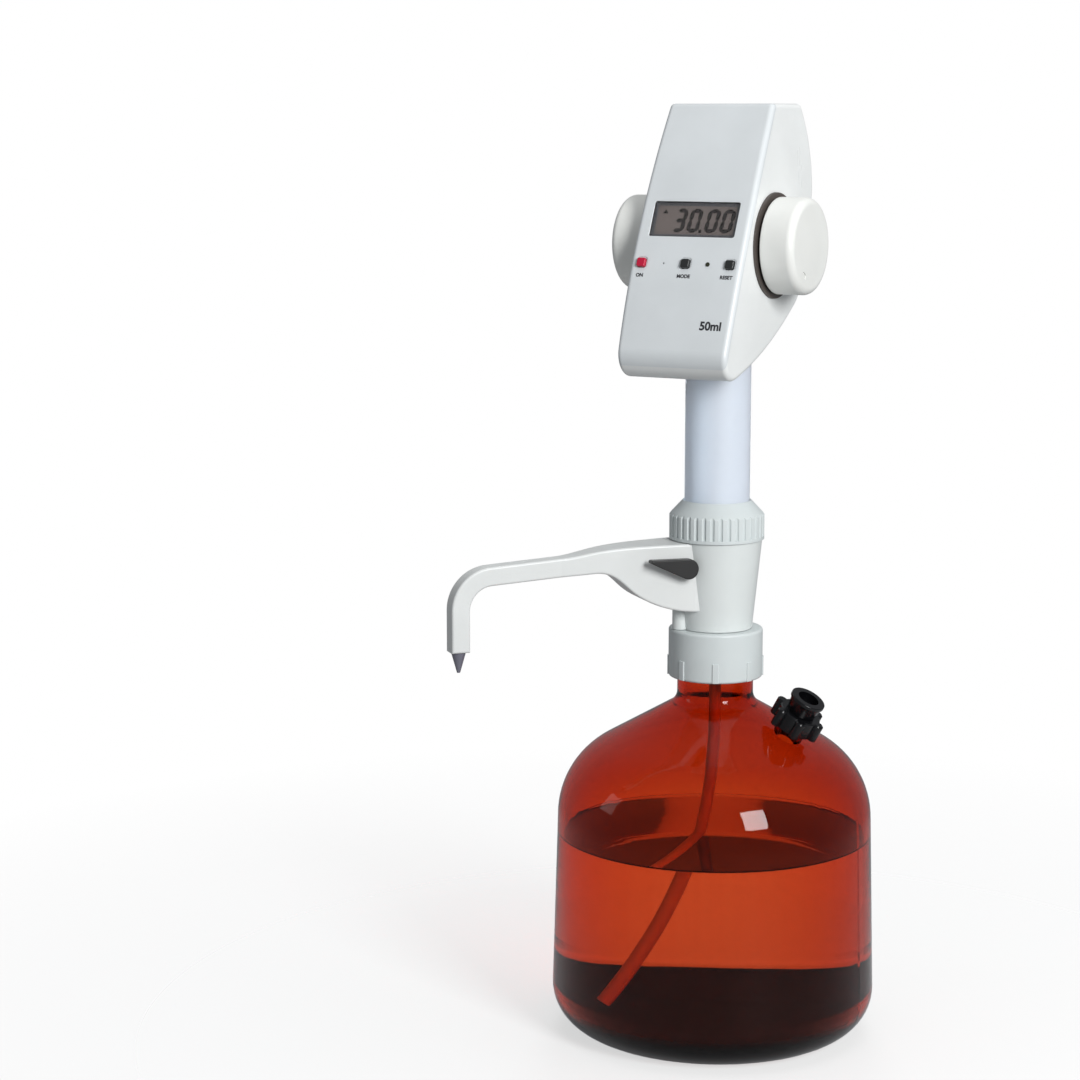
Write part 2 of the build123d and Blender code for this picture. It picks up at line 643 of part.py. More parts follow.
with BuildPart() as valve_body:
    with BuildSketch(Plane.XZ):
        with BuildLine():
            Polyline(
                (0, FLANGE_FOOT_Z - SPIGOT_LENGTH),
                (SPIGOT_RADIUS, FLANGE_FOOT_Z - SPIGOT_LENGTH),
                (SPIGOT_RADIUS, FLANGE_FOOT_Z),
                (FLANGE_RADIUS, FLANGE_FOOT_Z),
                (FLANGE_RADIUS, FLANGE_FOOT_Z + FLANGE_THICK),
                (VALVE_NECK_RADIUS, FLANGE_FOOT_Z + FLANGE_THICK),
                (VALVE_NECK_RADIUS, CONE_FOOT_Z),
                (CONE_FOOT_RADIUS, CONE_FOOT_Z),
                (CONE_TOP_RADIUS, CONE_TOP_Z),
                (THREAD_NECK_RADIUS, CONE_TOP_Z),
                (THREAD_NECK_RADIUS, THREAD_NECK_TOP_Z),
                (CUP_RADIUS, THREAD_NECK_TOP_Z),
                (CUP_RADIUS, CUP_FLOOR_Z),
                (0, CUP_FLOOR_Z),
                close=True,
            )
        make_face()
    revolve(axis=Axis.Z)
    boss_centre = spout_plane.from_local_coords(Vector(RETURN_BOSS_REACH, CONE_FOOT_Z, 0))
    with Locations(boss_centre):
        Cylinder(
            RETURN_BOSS_RADIUS,
            RETURN_BOSS_TOP - CONE_FOOT_Z,
            align=(Align.CENTER, Align.CENTER, Align.MIN),
        )
    with Locations((0, 0, FLANGE_FOOT_Z - SPIGOT_LENGTH)):
        Cylinder(
            DIP_RADIUS + SEAT,
            DIP_SOCKET,
            align=(Align.CENTER, Align.CENTER, Align.MIN),
            mode=Mode.SUBTRACT,
        )
        Cylinder(
            CHANNEL_RADIUS,
            CUP_FLOOR_Z - FLANGE_FOOT_Z + SPIGOT_LENGTH,
            align=(Align.CENTER, Align.CENTER, Align.MIN),
            mode=Mode.SUBTRACT,
        )
    with Locations((0, 0, INLET_SEAT_Z)):
        Cylinder(
            BALL_CHAMBER,
            inlet_roof_z - INLET_SEAT_Z,
            align=(Align.CENTER, Align.CENTER, Align.MIN),
            mode=Mode.SUBTRACT,
        )
    with BuildSketch(spout_disc_plane(0)):
        Circle(CHANNEL_RADIUS)
    extrude(amount=CONE_TOP_RADIUS, mode=Mode.SUBTRACT)
    with BuildSketch(spout_disc_plane(outlet_seat_reach)):
        Circle(BALL_CHAMBER)
    extrude(amount=outlet_end_reach - outlet_seat_reach, mode=Mode.SUBTRACT)
    with BuildSketch(spout_plane):
        with Locations((PLUG_REACH, SPOUT_Z)):
            Circle(PLUG_RADIUS + RUNNING)
    extrude(amount=ARM_ROOT_WIDTH, both=True, mode=Mode.SUBTRACT)
valve_body.part.label = "valve_body"
export_step(valve_body.part, "parts/valve_body.step")


def seat_ring_outline(rise):
    """Half section of a ball seat, a ring with a bevelled mouth; rise is +1 up or -1 down local Y."""
    Polyline(
        (CHANNEL_RADIUS, 0),
        (BALL_CHAMBER, 0),
        (BALL_CHAMBER, rise * SEAT_RING_HEIGHT),
        (BALL_RADIUS * SEAT_SHARE, rise * SEAT_RING_HEIGHT),
        (BALL_RADIUS * SEAT_SHARE, rise * SEAT_STEP),
        (CHANNEL_RADIUS, rise * SEAT_STEP),
        close=True,
    )


ball_seat_drop = BALL_RADIUS * (1 - sqrt(1 - SEAT_SHARE**2))
inlet_ball_z = INLET_SEAT_Z + SEAT_RING_HEIGHT + BALL_RADIUS - ball_seat_drop + RUNNING
outlet_ball_reach = outlet_seat_reach + SEAT_RING_HEIGHT + BALL_RADIUS - ball_seat_drop + RUNNING

with BuildPart() as inlet_seat:
    with BuildSketch(Plane(origin=(0, 0, INLET_SEAT_Z), x_dir=(1, 0, 0), z_dir=(0, -1, 0))):
        with BuildLine():
            seat_ring_outline(1)
        make_face()
    revolve(axis=Axis.Z)
inlet_seat.part.label = "inlet_seat"
export_step(inlet_seat.part, "parts/inlet_seat.step")

with BuildPart() as inlet_ball:
    with Locations((0, 0, inlet_ball_z)):
        Sphere(BALL_RADIUS)
inlet_ball.part.label = "inlet_ball"
export_step(inlet_ball.part, "parts/inlet_ball.step")

outlet_axis = Axis(spout_disc_plane(outlet_seat_reach).origin, spout_plane.x_dir)
with BuildPart() as outlet_seat:
    outlet_section = Plane(origin=outlet_axis.position, x_dir=(0, 0, 1), z_dir=spout_plane.z_dir)
    with BuildSketch(outlet_section):
        with BuildLine():
            seat_ring_outline(-1)
        make_face()
    revolve(axis=outlet_axis)
outlet_seat.part.label = "outlet_seat"
export_step(outlet_seat.part, "parts/outlet_seat.step")

with BuildPart() as outlet_ball:
    with Locations(spout_plane.from_local_coords(Vector(outlet_ball_reach, SPOUT_Z, 0))):
        Sphere(BALL_RADIUS)
outlet_ball.part.label = "outlet_ball"
export_step(outlet_ball.part, "parts/outlet_ball.step")


# Spout arm, discharge tube and jet

arm_fall = radians(ARM_FALL)
bend_centre_reach = ARM_REACH - ARM_BEND
bend_start = bend_centre_reach + ARM_BEND * sin(arm_fall)
bend_centre_z = ARM_LINE_Z - (bend_start - ARM_SHOULDER) * tan(arm_fall) - ARM_BEND * cos(arm_fall)
tube_start = PLUG_REACH + PLUG_RADIUS + FLAT_GAP
half = ARM_DEPTH / 2
root_reach = sqrt(CONE_FOOT_RADIUS**2 - (ARM_ROOT_WIDTH / 2) ** 2) - ARM_ROOT_SINK


def bend_point(radius, angle):
    """Point (reach, Z) of the arm's bend; angle in radians from upright."""
    return (bend_centre_reach + radius * sin(angle), bend_centre_z + radius * cos(angle))


def bend_arc(radius):
    """Quarter bend of the arm at a radius, from the sloping part to straight down."""
    ThreePointArc(
        bend_point(radius, arm_fall),
        bend_point(radius, (arm_fall + pi / 2) / 2),
        bend_point(radius, pi / 2),
    )


def shoulder_point(radius):
    """Point above ARM_SHOULDER on the straight line that runs into the bend at a radius."""
    reach, z = bend_point(radius, arm_fall)
    return (ARM_SHOULDER, z + (reach - ARM_SHOULDER) * tan(arm_fall))


def tube_line():
    """Middle line of the discharge tube, from the stopcock to the jet."""
    start = (tube_start, SPOUT_Z)
    Spline(start, shoulder_point(ARM_BEND), tangents=((1, 0), (1, -tan(arm_fall))))
    Line(shoulder_point(ARM_BEND), bend_point(ARM_BEND, arm_fall))
    bend_arc(ARM_BEND)
    Line(bend_point(ARM_BEND, pi / 2), (ARM_REACH, ARM_TIP_Z + JET_PLUG))


def is_arm_edge(edge):
    """True for the edges that run along the arm or down it, but not for those across it."""
    span = edge.position_at(1) - edge.position_at(0)
    return abs(span.dot(spout_plane.z_dir)) < edge.length * ARM_CROSS_SHARE


with BuildPart() as spout_arm:
    with BuildSketch(spout_plane.offset(-ARM_ROOT_WIDTH / 2)):
        with BuildLine():
            root_end = (root_reach + ARM_ROOT_FLAT, ARM_ROOT_TOP_Z)
            knee_rise = (ARM_SHOULDER - ARM_KNEE) * tan(arm_fall)
            knee_low = (ARM_KNEE, shoulder_point(ARM_BEND - half)[1] + knee_rise)
            Line((root_reach, ARM_ROOT_TOP_Z), root_end)
            Spline(
                root_end,
                (ARM_KNEE, ARM_KNEE_TOP_Z),
                shoulder_point(ARM_BEND + half),
                tangents=((1, -ARM_ROOT_SLOPE), (1, -tan(arm_fall))),
            )
            Line(shoulder_point(ARM_BEND + half), bend_point(ARM_BEND + half, arm_fall))
            bend_arc(ARM_BEND + half)
            Polyline(
                bend_point(ARM_BEND + half, pi / 2),
                (ARM_REACH + half, ARM_TIP_Z),
                (ARM_REACH - half, ARM_TIP_Z),
                bend_point(ARM_BEND - half, pi / 2),
            )
            bend_arc(ARM_BEND - half)
            Line(bend_point(ARM_BEND - half, arm_fall), knee_low)
            Spline(
                knee_low,
                *ARM_BELLY,
                (root_reach, ARM_ROOT_FOOT_Z),
                tangents=((-1, tan(arm_fall)), (-1, 0)),
            )
            Line((root_reach, ARM_ROOT_FOOT_Z), (root_reach, ARM_ROOT_TOP_Z))
        make_face()
    extrude(amount=ARM_ROOT_WIDTH)
    with BuildSketch(Plane.XY.rotated((0, 0, SPOUT_AZIMUTH))):
        with BuildLine():
            Polyline(
                (0, ARM_ROOT_WIDTH / 2),
                (root_reach + ARM_TAPER_START, ARM_ROOT_WIDTH / 2),
                (ARM_SHOULDER, ARM_WIDTH / 2),
                (ARM_REACH + ARM_DEPTH, ARM_WIDTH / 2),
                (ARM_REACH + ARM_DEPTH, -ARM_WIDTH / 2),
                (ARM_SHOULDER, -ARM_WIDTH / 2),
                (root_reach + ARM_TAPER_START, -ARM_ROOT_WIDTH / 2),
                (0, -ARM_ROOT_WIDTH / 2),
                close=True,
            )
        make_face()
    extrude(amount=HEAD_TOP_Z, mode=Mode.INTERSECT)
    fillet(spout_arm.edges().filter_by(is_arm_edge), ARM_EDGE_ROUND)
    with Locations((0, 0, CONE_FOOT_Z)):
        Cone(
            CONE_FOOT_RADIUS,
            CONE_TOP_RADIUS,
            CONE_TOP_Z - CONE_FOOT_Z,
            align=(Align.CENTER, Align.CENTER, Align.MIN),
            mode=Mode.SUBTRACT,
        )
    with Locations(boss_centre):
        Cylinder(
            RETURN_BOSS_RADIUS,
            RETURN_BOSS_TOP - CONE_FOOT_Z,
            align=(Align.CENTER, Align.CENTER, Align.MIN),
            mode=Mode.SUBTRACT,
        )
    with BuildSketch(spout_plane):
        with Locations((PLUG_REACH, SPOUT_Z)):
            Circle(PLUG_RADIUS + RUNNING)
    extrude(amount=ARM_ROOT_WIDTH, both=True, mode=Mode.SUBTRACT)
    with BuildSketch(spout_disc_plane(PLUG_REACH)):
        Circle(DISCHARGE_RADIUS)
    extrude(amount=tube_start - PLUG_REACH, mode=Mode.SUBTRACT)
    with BuildLine(spout_plane) as channel_path:
        tube_line()
    with BuildSketch(spout_disc_plane(tube_start)):
        Circle(DISCHARGE_RADIUS)
    sweep(path=channel_path.wires()[0], mode=Mode.SUBTRACT)
    with BuildSketch(Plane(origin=spout_plane.from_local_coords(Vector(ARM_REACH, ARM_TIP_Z, 0)))):
        Circle(DISCHARGE_RADIUS)
    extrude(amount=JET_PLUG, mode=Mode.SUBTRACT)
spout_arm.part.label = "spout_arm"
export_step(spout_arm.part, "parts/spout_arm.step")

with BuildPart() as discharge_tube:
    with BuildLine(spout_plane) as tube_path:
        tube_line()
    with BuildSketch(spout_disc_plane(tube_start)):
        Circle(DISCHARGE_RADIUS)
        Circle(DISCHARGE_BORE, mode=Mode.SUBTRACT)
    sweep(path=tube_path.wires()[0])
discharge_tube.part.label = "discharge_tube"
export_step(discharge_tube.part, "parts/discharge_tube.step")

with BuildPart() as jet_tip:
    with BuildSketch(spout_plane):
        with BuildLine():
            Polyline(
                (ARM_REACH, ARM_TIP_Z + JET_PLUG),
                (ARM_REACH + DISCHARGE_RADIUS, ARM_TIP_Z + JET_PLUG),
                (ARM_REACH + DISCHARGE_RADIUS, ARM_TIP_Z),
                (ARM_REACH + JET_RADIUS, ARM_TIP_Z),
                (ARM_REACH + JET_RADIUS, ARM_TIP_Z - JET_NECK),
                (ARM_REACH + JET_TIP_RADIUS, ARM_TIP_Z - JET_LENGTH),
                (ARM_REACH, ARM_TIP_Z - JET_LENGTH),
                close=True,
            )
        make_face()
    jet_axis = Axis(spout_plane.from_local_coords(Vector(ARM_REACH, 0, 0)), (0, 0, 1))
    revolve(axis=jet_axis)
    with Locations(spout_plane.from_local_coords(Vector(ARM_REACH, ARM_TIP_Z - JET_LENGTH, 0))):
        Cylinder(JET_TIP_RADIUS / 2, JET_LENGTH + JET_PLUG, align=(Align.CENTER, Align.CENTER, Align.MIN),
                 mode=Mode.SUBTRACT)
jet_tip.part.label = "jet_tip"
export_step(jet_tip.part, "parts/jet_tip.step")


# Stopcock: plug, lever and retaining cap

with BuildPart() as valve_plug:
    with BuildSketch(spout_plane.offset(-LEVER_FACE)):
        with Locations((PLUG_REACH, SPOUT_Z)):
            Circle(PLUG_RADIUS)
    extrude(amount=2 * LEVER_FACE)
    with BuildSketch(spout_disc_plane(PLUG_REACH - PLUG_RADIUS)):
        Circle(CHANNEL_RADIUS)
    extrude(amount=2 * PLUG_RADIUS, mode=Mode.SUBTRACT)
valve_plug.part.label = "valve_plug"
export_step(valve_plug.part, "parts/valve_plug.step")

lever_lean = degrees(acos((LEVER_RADIUS - LEVER_TIP_RADIUS) / LEVER_LENGTH))


plug_axis = Axis(spout_plane.origin, spout_plane.z_dir)


def lever_point(radius, angle, along=0.0):
    """Point (reach, Z) of the lever, turned up by its rise; along is measured to its tip."""
    turn = radians(LEVER_RISE)
    swing = radians(LEVER_RISE + angle)
    return (
        PLUG_REACH + along * cos(turn) + radius * cos(swing),
        SPOUT_Z + along * sin(turn) + radius * sin(swing),
    )


with BuildPart() as valve_lever:
    with BuildSketch(spout_plane.offset(-LEVER_FACE)):
        with BuildLine():
            Line(
                lever_point(LEVER_RADIUS, lever_lean),
                lever_point(LEVER_TIP_RADIUS, lever_lean, LEVER_LENGTH),
            )
            ThreePointArc(
                lever_point(LEVER_TIP_RADIUS, lever_lean, LEVER_LENGTH),
                lever_point(LEVER_TIP_RADIUS, 0, LEVER_LENGTH),
                lever_point(LEVER_TIP_RADIUS, -lever_lean, LEVER_LENGTH),
            )
            Line(
                lever_point(LEVER_TIP_RADIUS, -lever_lean, LEVER_LENGTH),
                lever_point(LEVER_RADIUS, -lever_lean),
            )
            ThreePointArc(
                lever_point(LEVER_RADIUS, -lever_lean),
                lever_point(LEVER_RADIUS, 180),
                lever_point(LEVER_RADIUS, lever_lean),
            )
        make_face()
    extrude(amount=-LEVER_THICK)
    fillet(valve_lever.faces().sort_by(plug_axis)[0].edges(), LEVER_EDGE_ROUND)
valve_lever.part.label = "valve_lever"
export_step(valve_lever.part, "parts/valve_lever.step")

with BuildPart() as plug_retainer:
    with BuildSketch(spout_plane.offset(LEVER_FACE)):
        with Locations((PLUG_REACH, SPOUT_Z)):
            Circle(RETAINER_RADIUS)
    extrude(amount=RETAINER_THICK)
    fillet(plug_retainer.faces().sort_by(plug_axis)[-1].edges(), RETAINER_ROUND)
plug_retainer.part.label = "plug_retainer"
export_step(plug_retainer.part, "parts/plug_retainer.step")


# Dip tube: straight out of its socket, then one long natural curl

dip_top_z = FLANGE_FOOT_Z - SPIGOT_LENGTH + DIP_SOCKET
dip_turn = degrees(asin((DIP_STRAIGHT_Z - DIP_END_Z) / DIP_BEND))

with BuildPart() as dip_tube:
    with BuildLine(dip_plane):
        straight = Line((0, dip_top_z), (0, DIP_STRAIGHT_Z))
        JernArc(start=straight @ 1, tangent=straight % 1, radius=DIP_BEND, arc_size=dip_turn)
    with BuildSketch(Plane(origin=(0, 0, dip_top_z), z_dir=(0, 0, -1))):
        Circle(DIP_RADIUS)
        Circle(DIP_BORE, mode=Mode.SUBTRACT)
    sweep()
dip_tube.part.label = "dip_tube"
export_step(dip_tube.part, "parts/dip_tube.step")


# Column: seal, glass barrel, clear sleeve and lock ring

with BuildPart() as barrel_seal:
    with BuildSketch(Plane.XY.offset(CUP_FLOOR_Z)):
        Circle(SLEEVE_RADIUS - RUNNING)
        Circle(BORE_RADIUS, mode=Mode.SUBTRACT)
    extrude(amount=BARREL_SEAL_THICK)
barrel_seal.part.label = "barrel_seal"
export_step(barrel_seal.part, "parts/barrel_seal.step")

with BuildPart() as glass_barrel:
    with BuildSketch(Plane.XY.offset(BARREL_BASE_Z)):
        Circle(BARREL_RADIUS)
        Circle(BORE_RADIUS, mode=Mode.SUBTRACT)
    extrude(amount=BARREL_TOP_Z - BARREL_BASE_Z)
glass_barrel.part.label = "glass_barrel"
export_step(glass_barrel.part, "parts/glass_barrel.step")

sleeve_flange_z = THREAD_NECK_TOP_Z + RUNNING
lock_web_z = sleeve_flange_z + SLEEVE_FLANGE_THICK + RUNNING

with BuildPart() as barrel_sleeve:
    with Locations((0, 0, BARREL_BASE_Z)):
        Cylinder(SLEEVE_RADIUS, SLEEVE_TOP_Z - BARREL_BASE_Z, align=(Align.CENTER, Align.CENTER, Align.MIN))
    with Locations((0, 0, sleeve_flange_z)):
        Cylinder(THREAD_NECK_RADIUS, SLEEVE_FLANGE_THICK, align=(Align.CENTER, Align.CENTER, Align.MIN))
    with Locations((0, 0, BARREL_BASE_Z)):
        Cylinder(
            BARREL_RADIUS + SLEEVE_GAP,
            SLEEVE_TOP_Z - BARREL_BASE_Z,
            align=(Align.CENTER, Align.CENTER, Align.MIN),
            mode=Mode.SUBTRACT,
        )
barrel_sleeve.part.label = "barrel_sleeve"
export_step(barrel_sleeve.part, "parts/barrel_sleeve.step")

with BuildPart() as lock_ring:
    with BuildSketch(Plane.XZ):
        with BuildLine():
            lock_foot_z = CONE_TOP_Z + FLAT_GAP
            Polyline(
                (THREAD_NECK_RADIUS + FLAT_GAP, lock_foot_z),
                (LOCK_RADIUS, lock_foot_z),
                (LOCK_RADIUS, LOCK_SHOULDER_Z - LOCK_BEVEL),
                (LOCK_SHOULDER_RADIUS, LOCK_SHOULDER_Z),
                (SLEEVE_RADIUS + LOCK_LIP, LOCK_TOP_Z),
                (SLEEVE_RADIUS + FLAT_GAP, LOCK_TOP_Z),
                (SLEEVE_RADIUS + FLAT_GAP, lock_web_z),
                (THREAD_NECK_RADIUS + FLAT_GAP, lock_web_z),
                close=True,
            )
        make_face()
    revolve(axis=Axis.Z)
    with BuildSketch(Plane.XY.offset(lock_foot_z + LOCK_BAND)):
        with PolarLocations(LOCK_RADIUS + LOCK_FLUTE_OUT, LOCK_FLUTES):
            Circle(LOCK_FLUTE_RADIUS)
    extrude(amount=LOCK_SHOULDER_Z - lock_foot_z - LOCK_BAND, mode=Mode.SUBTRACT)
lock_ring.part.label = "lock_ring"
export_step(lock_ring.part, "parts/lock_ring.step")


# Piston, seal and toothed rod

with BuildPart() as piston:
    with BuildSketch(Plane.XZ):
        with BuildLine():
            seal_foot_z = PISTON_Z + (PISTON_LENGTH - SEAL_WIDTH) / 2
            Polyline(
                (0, PISTON_Z),
                (BORE_RADIUS - PISTON_GAP, PISTON_Z),
                (BORE_RADIUS - PISTON_GAP, seal_foot_z),
                (BORE_RADIUS - SEAL_GROOVE, seal_foot_z),
                (BORE_RADIUS - SEAL_GROOVE, seal_foot_z + SEAL_WIDTH),
                (BORE_RADIUS - PISTON_GAP, seal_foot_z + SEAL_WIDTH),
                (BORE_RADIUS - PISTON_GAP, PISTON_TOP_Z),
                (0, PISTON_TOP_Z),
                close=True,
            )
        make_face()
    revolve(axis=Axis.Z)
piston.part.label = "piston"
export_step(piston.part, "parts/piston.step")

with BuildPart() as piston_seal:
    with BuildSketch(Plane.XY.offset(seal_foot_z)):
        Circle(BORE_RADIUS - SEAL_RUNNING)
        Circle(BORE_RADIUS - SEAL_GROOVE, mode=Mode.SUBTRACT)
    extrude(amount=SEAL_WIDTH)
piston_seal.part.label = "piston_seal"
export_step(piston_seal.part, "parts/piston_seal.step")


def rack_points():
    """Outline (Y, Z) of the rack: trapezoid teeth towards the pinion, flat back."""
    lean = tan(radians(PRESSURE_ANGLE))
    pitch_y = PINION_PITCH
    tip_y = pitch_y - RACK_ADDENDUM * MODULE
    root_y = pitch_y + DEDENDUM * MODULE
    half_tooth = TOOTH_PITCH / 4 - BACKLASH / 4
    tip_half = half_tooth - RACK_ADDENDUM * MODULE * lean
    root_half = half_tooth + DEDENDUM * MODULE * lean
    lowest = ceil((PINION_Z - RACK_TOP_Z + STROKE + 3 * MODULE) / TOOTH_PITCH)
    points = [(root_y, RACK_TOP_Z)]
    for tooth in range(lowest + 1):
        middle = PINION_Z - TOOTH_PITCH / 2 - tooth * TOOTH_PITCH
        points += [
            (root_y, middle + root_half),
            (tip_y, middle + tip_half),
            (tip_y, middle - tip_half),
            (root_y, middle - root_half),
        ]
    return points


with BuildPart() as piston_rod:
    with BuildSketch(Plane.YZ):
        with BuildLine():
            rack_back_y = PINION_PITCH + DEDENDUM * MODULE + RACK_SPINE
            rod_foot_z = PISTON_TOP_Z + FOOT_THICK
            toothed = rack_points()
            last_z = toothed[-1][1]
            Polyline(
                *toothed,
                (toothed[-1][0], last_z - RACK_LEAD),
                (PINION_PITCH - MODULE, last_z - RACK_RUN_OUT),
                (PINION_PITCH - MODULE, rod_foot_z),
                (rack_back_y, rod_foot_z),
                (rack_back_y, RACK_TOP_Z),
                close=True,
            )
        make_face()
    extrude(amount=RACK_WIDTH / 2, both=True)
    with Locations((0, 0, PISTON_TOP_Z)):
        Cylinder(FOOT_RADIUS, FOOT_THICK, align=(Align.CENTER, Align.CENTER, Align.MIN))
    with BuildSketch(Plane.YZ):
        with BuildLine():
            gusset_y = PINION_PITCH - MODULE
            Polyline(
                (gusset_y, rod_foot_z),
                (-GUSSET_REACH, rod_foot_z),
                (gusset_y, rod_foot_z + GUSSET_RISE),
                close=True,
            )
        make_face()
    extrude(amount=GUSSET_THICK / 2, both=True)
piston_rod.part.label = "piston_rod"
export_step(piston_rod.part, "parts/piston_rod.step")


# Gears


def gear_points(teeth, first_tooth):
    """Outline of a spur gear with involute flanks, one tooth centred at first_tooth degrees."""
    pitch = MODULE * teeth / 2
    base = pitch * cos(radians(PRESSURE_ANGLE))
    root = pitch - DEDENDUM * MODULE
    tip = pitch + GEAR_ADDENDUM * MODULE
    half_tooth = pi / (2 * teeth) - BACKLASH / (4 * pitch)
    at_pitch = tan(radians(PRESSURE_ANGLE)) - radians(PRESSURE_ANGLE)
    lowest = max(base, root)
    flank = [(root, 0.0)] if root < base else []
    for step in range(FLANK_STEPS + 1):
        radius = lowest + (tip - lowest) * step / FLANK_STEPS
        pressure = acos(min(1.0, base / radius))
        flank.append((radius, half_tooth + at_pitch - (tan(pressure) - pressure)))
    if root < base:
        flank[0] = (root, flank[1][1])
    points = []
    for tooth in range(teeth):
        middle = radians(first_tooth) + 2 * pi * tooth / teeth
        for radius, angle in flank:
            points.append((radius * cos(middle - angle), radius * sin(middle - angle)))
        for radius, angle in reversed(flank):
            points.append((radius * cos(middle + angle), radius * sin(middle + angle)))
    return points


with BuildPart() as pinion:
    with BuildSketch(Plane.YZ.offset(PINION_LEFT).shift_origin((PINION_LEFT, 0, PINION_Z))):
        with BuildLine():
            Polyline(*gear_points(PINION_TEETH, 0.0), close=True)
        make_face()
        Circle(PINION_AXLE_RADIUS, mode=Mode.SUBTRACT)
    extrude(amount=PINION_RIGHT - PINION_LEFT)
pinion.part.label = "pinion"
export_step(pinion.part, "parts/pinion.step")

with BuildPart() as pinion_axle:
    with BuildSketch(Plane.YZ.offset(LEFT_PLATE_X - AXLE_OVERHANG)):
        with Locations((0, PINION_Z)):
            Circle(PINION_AXLE_RADIUS)
    extrude(amount=RIGHT_PLATE_X + PLATE_THICK - LEFT_PLATE_X + 2 * AXLE_OVERHANG)
pinion_axle.part.label = "pinion_axle"
export_step(pinion_axle.part, "parts/pinion_axle.step")

with BuildPart() as drive_gear:
    with BuildSketch(Plane.YZ.offset(DRIVE_GEAR_LEFT).shift_origin((DRIVE_GEAR_LEFT, 0, KNOB_Z))):
        with BuildLine():
            Polyline(*gear_points(DRIVE_TEETH, -90.0), close=True)
        make_face()
    extrude(amount=DRIVE_GEAR_THICK)
    with BuildSketch(Plane.YZ.offset(DRIVE_GEAR_LEFT).shift_origin((DRIVE_GEAR_LEFT, 0, KNOB_Z))):
        with PolarLocations((GEAR_HUB_RADIUS + DRIVE_PITCH) / 2, GEAR_WINDOWS):
            Circle(GEAR_WINDOW_RADIUS)
    extrude(amount=DRIVE_GEAR_THICK, mode=Mode.SUBTRACT)
    with BuildSketch(Plane.YZ.offset(DRIVE_GEAR_LEFT - GEAR_HUB_LENGTH)):
        with Locations((0, KNOB_Z)):
            Circle(GEAR_HUB_RADIUS)
    extrude(amount=GEAR_HUB_LENGTH)
    with BuildSketch(Plane.YZ.offset(DRIVE_GEAR_LEFT - GEAR_HUB_LENGTH)):
        with Locations((0, KNOB_Z)):
            Circle(SHAFT_RADIUS)
    extrude(amount=GEAR_HUB_LENGTH + DRIVE_GEAR_THICK, mode=Mode.SUBTRACT)
drive_gear.part.label = "drive_gear"
export_step(drive_gear.part, "parts/drive_gear.step")

with BuildPart() as knob_shaft:
    with BuildSketch(Plane.YZ):
        with Locations((0, KNOB_Z)):
            Circle(SHAFT_RADIUS)
    extrude(amount=KNOB_OUTER_X - KNOB_FACE - FLAT_GAP, both=True)
knob_shaft.part.label = "knob_shaft"
export_step(knob_shaft.part, "parts/knob_shaft.step")

with BuildPart() as encoder_disc:
    with BuildSketch(Plane.YZ.offset(ENCODER_X).shift_origin((ENCODER_X, 0, KNOB_Z))):
        Circle(ENCODER_RADIUS)
        with PolarLocations((ENCODER_SLIT_INNER + ENCODER_SLIT_OUTER) / 2, ENCODER_SLITS):
            Rectangle(ENCODER_SLIT_OUTER - ENCODER_SLIT_INNER, ENCODER_SLIT_WIDTH, mode=Mode.SUBTRACT)
    extrude(amount=ENCODER_THICK)
    with BuildSketch(Plane.YZ.offset(ENCODER_X - ENCODER_HUB_LENGTH)):
        with Locations((0, KNOB_Z)):
            Circle(ENCODER_HUB_RADIUS)
    extrude(amount=ENCODER_HUB_LENGTH)
    with BuildSketch(Plane.YZ.offset(ENCODER_X - ENCODER_HUB_LENGTH)):
        with Locations((0, KNOB_Z)):
            Circle(SHAFT_RADIUS)
    extrude(amount=ENCODER_HUB_LENGTH + ENCODER_THICK, mode=Mode.SUBTRACT)
encoder_disc.part.label = "encoder_disc"
export_step(encoder_disc.part, "parts/encoder_disc.step")


# Hand knobs

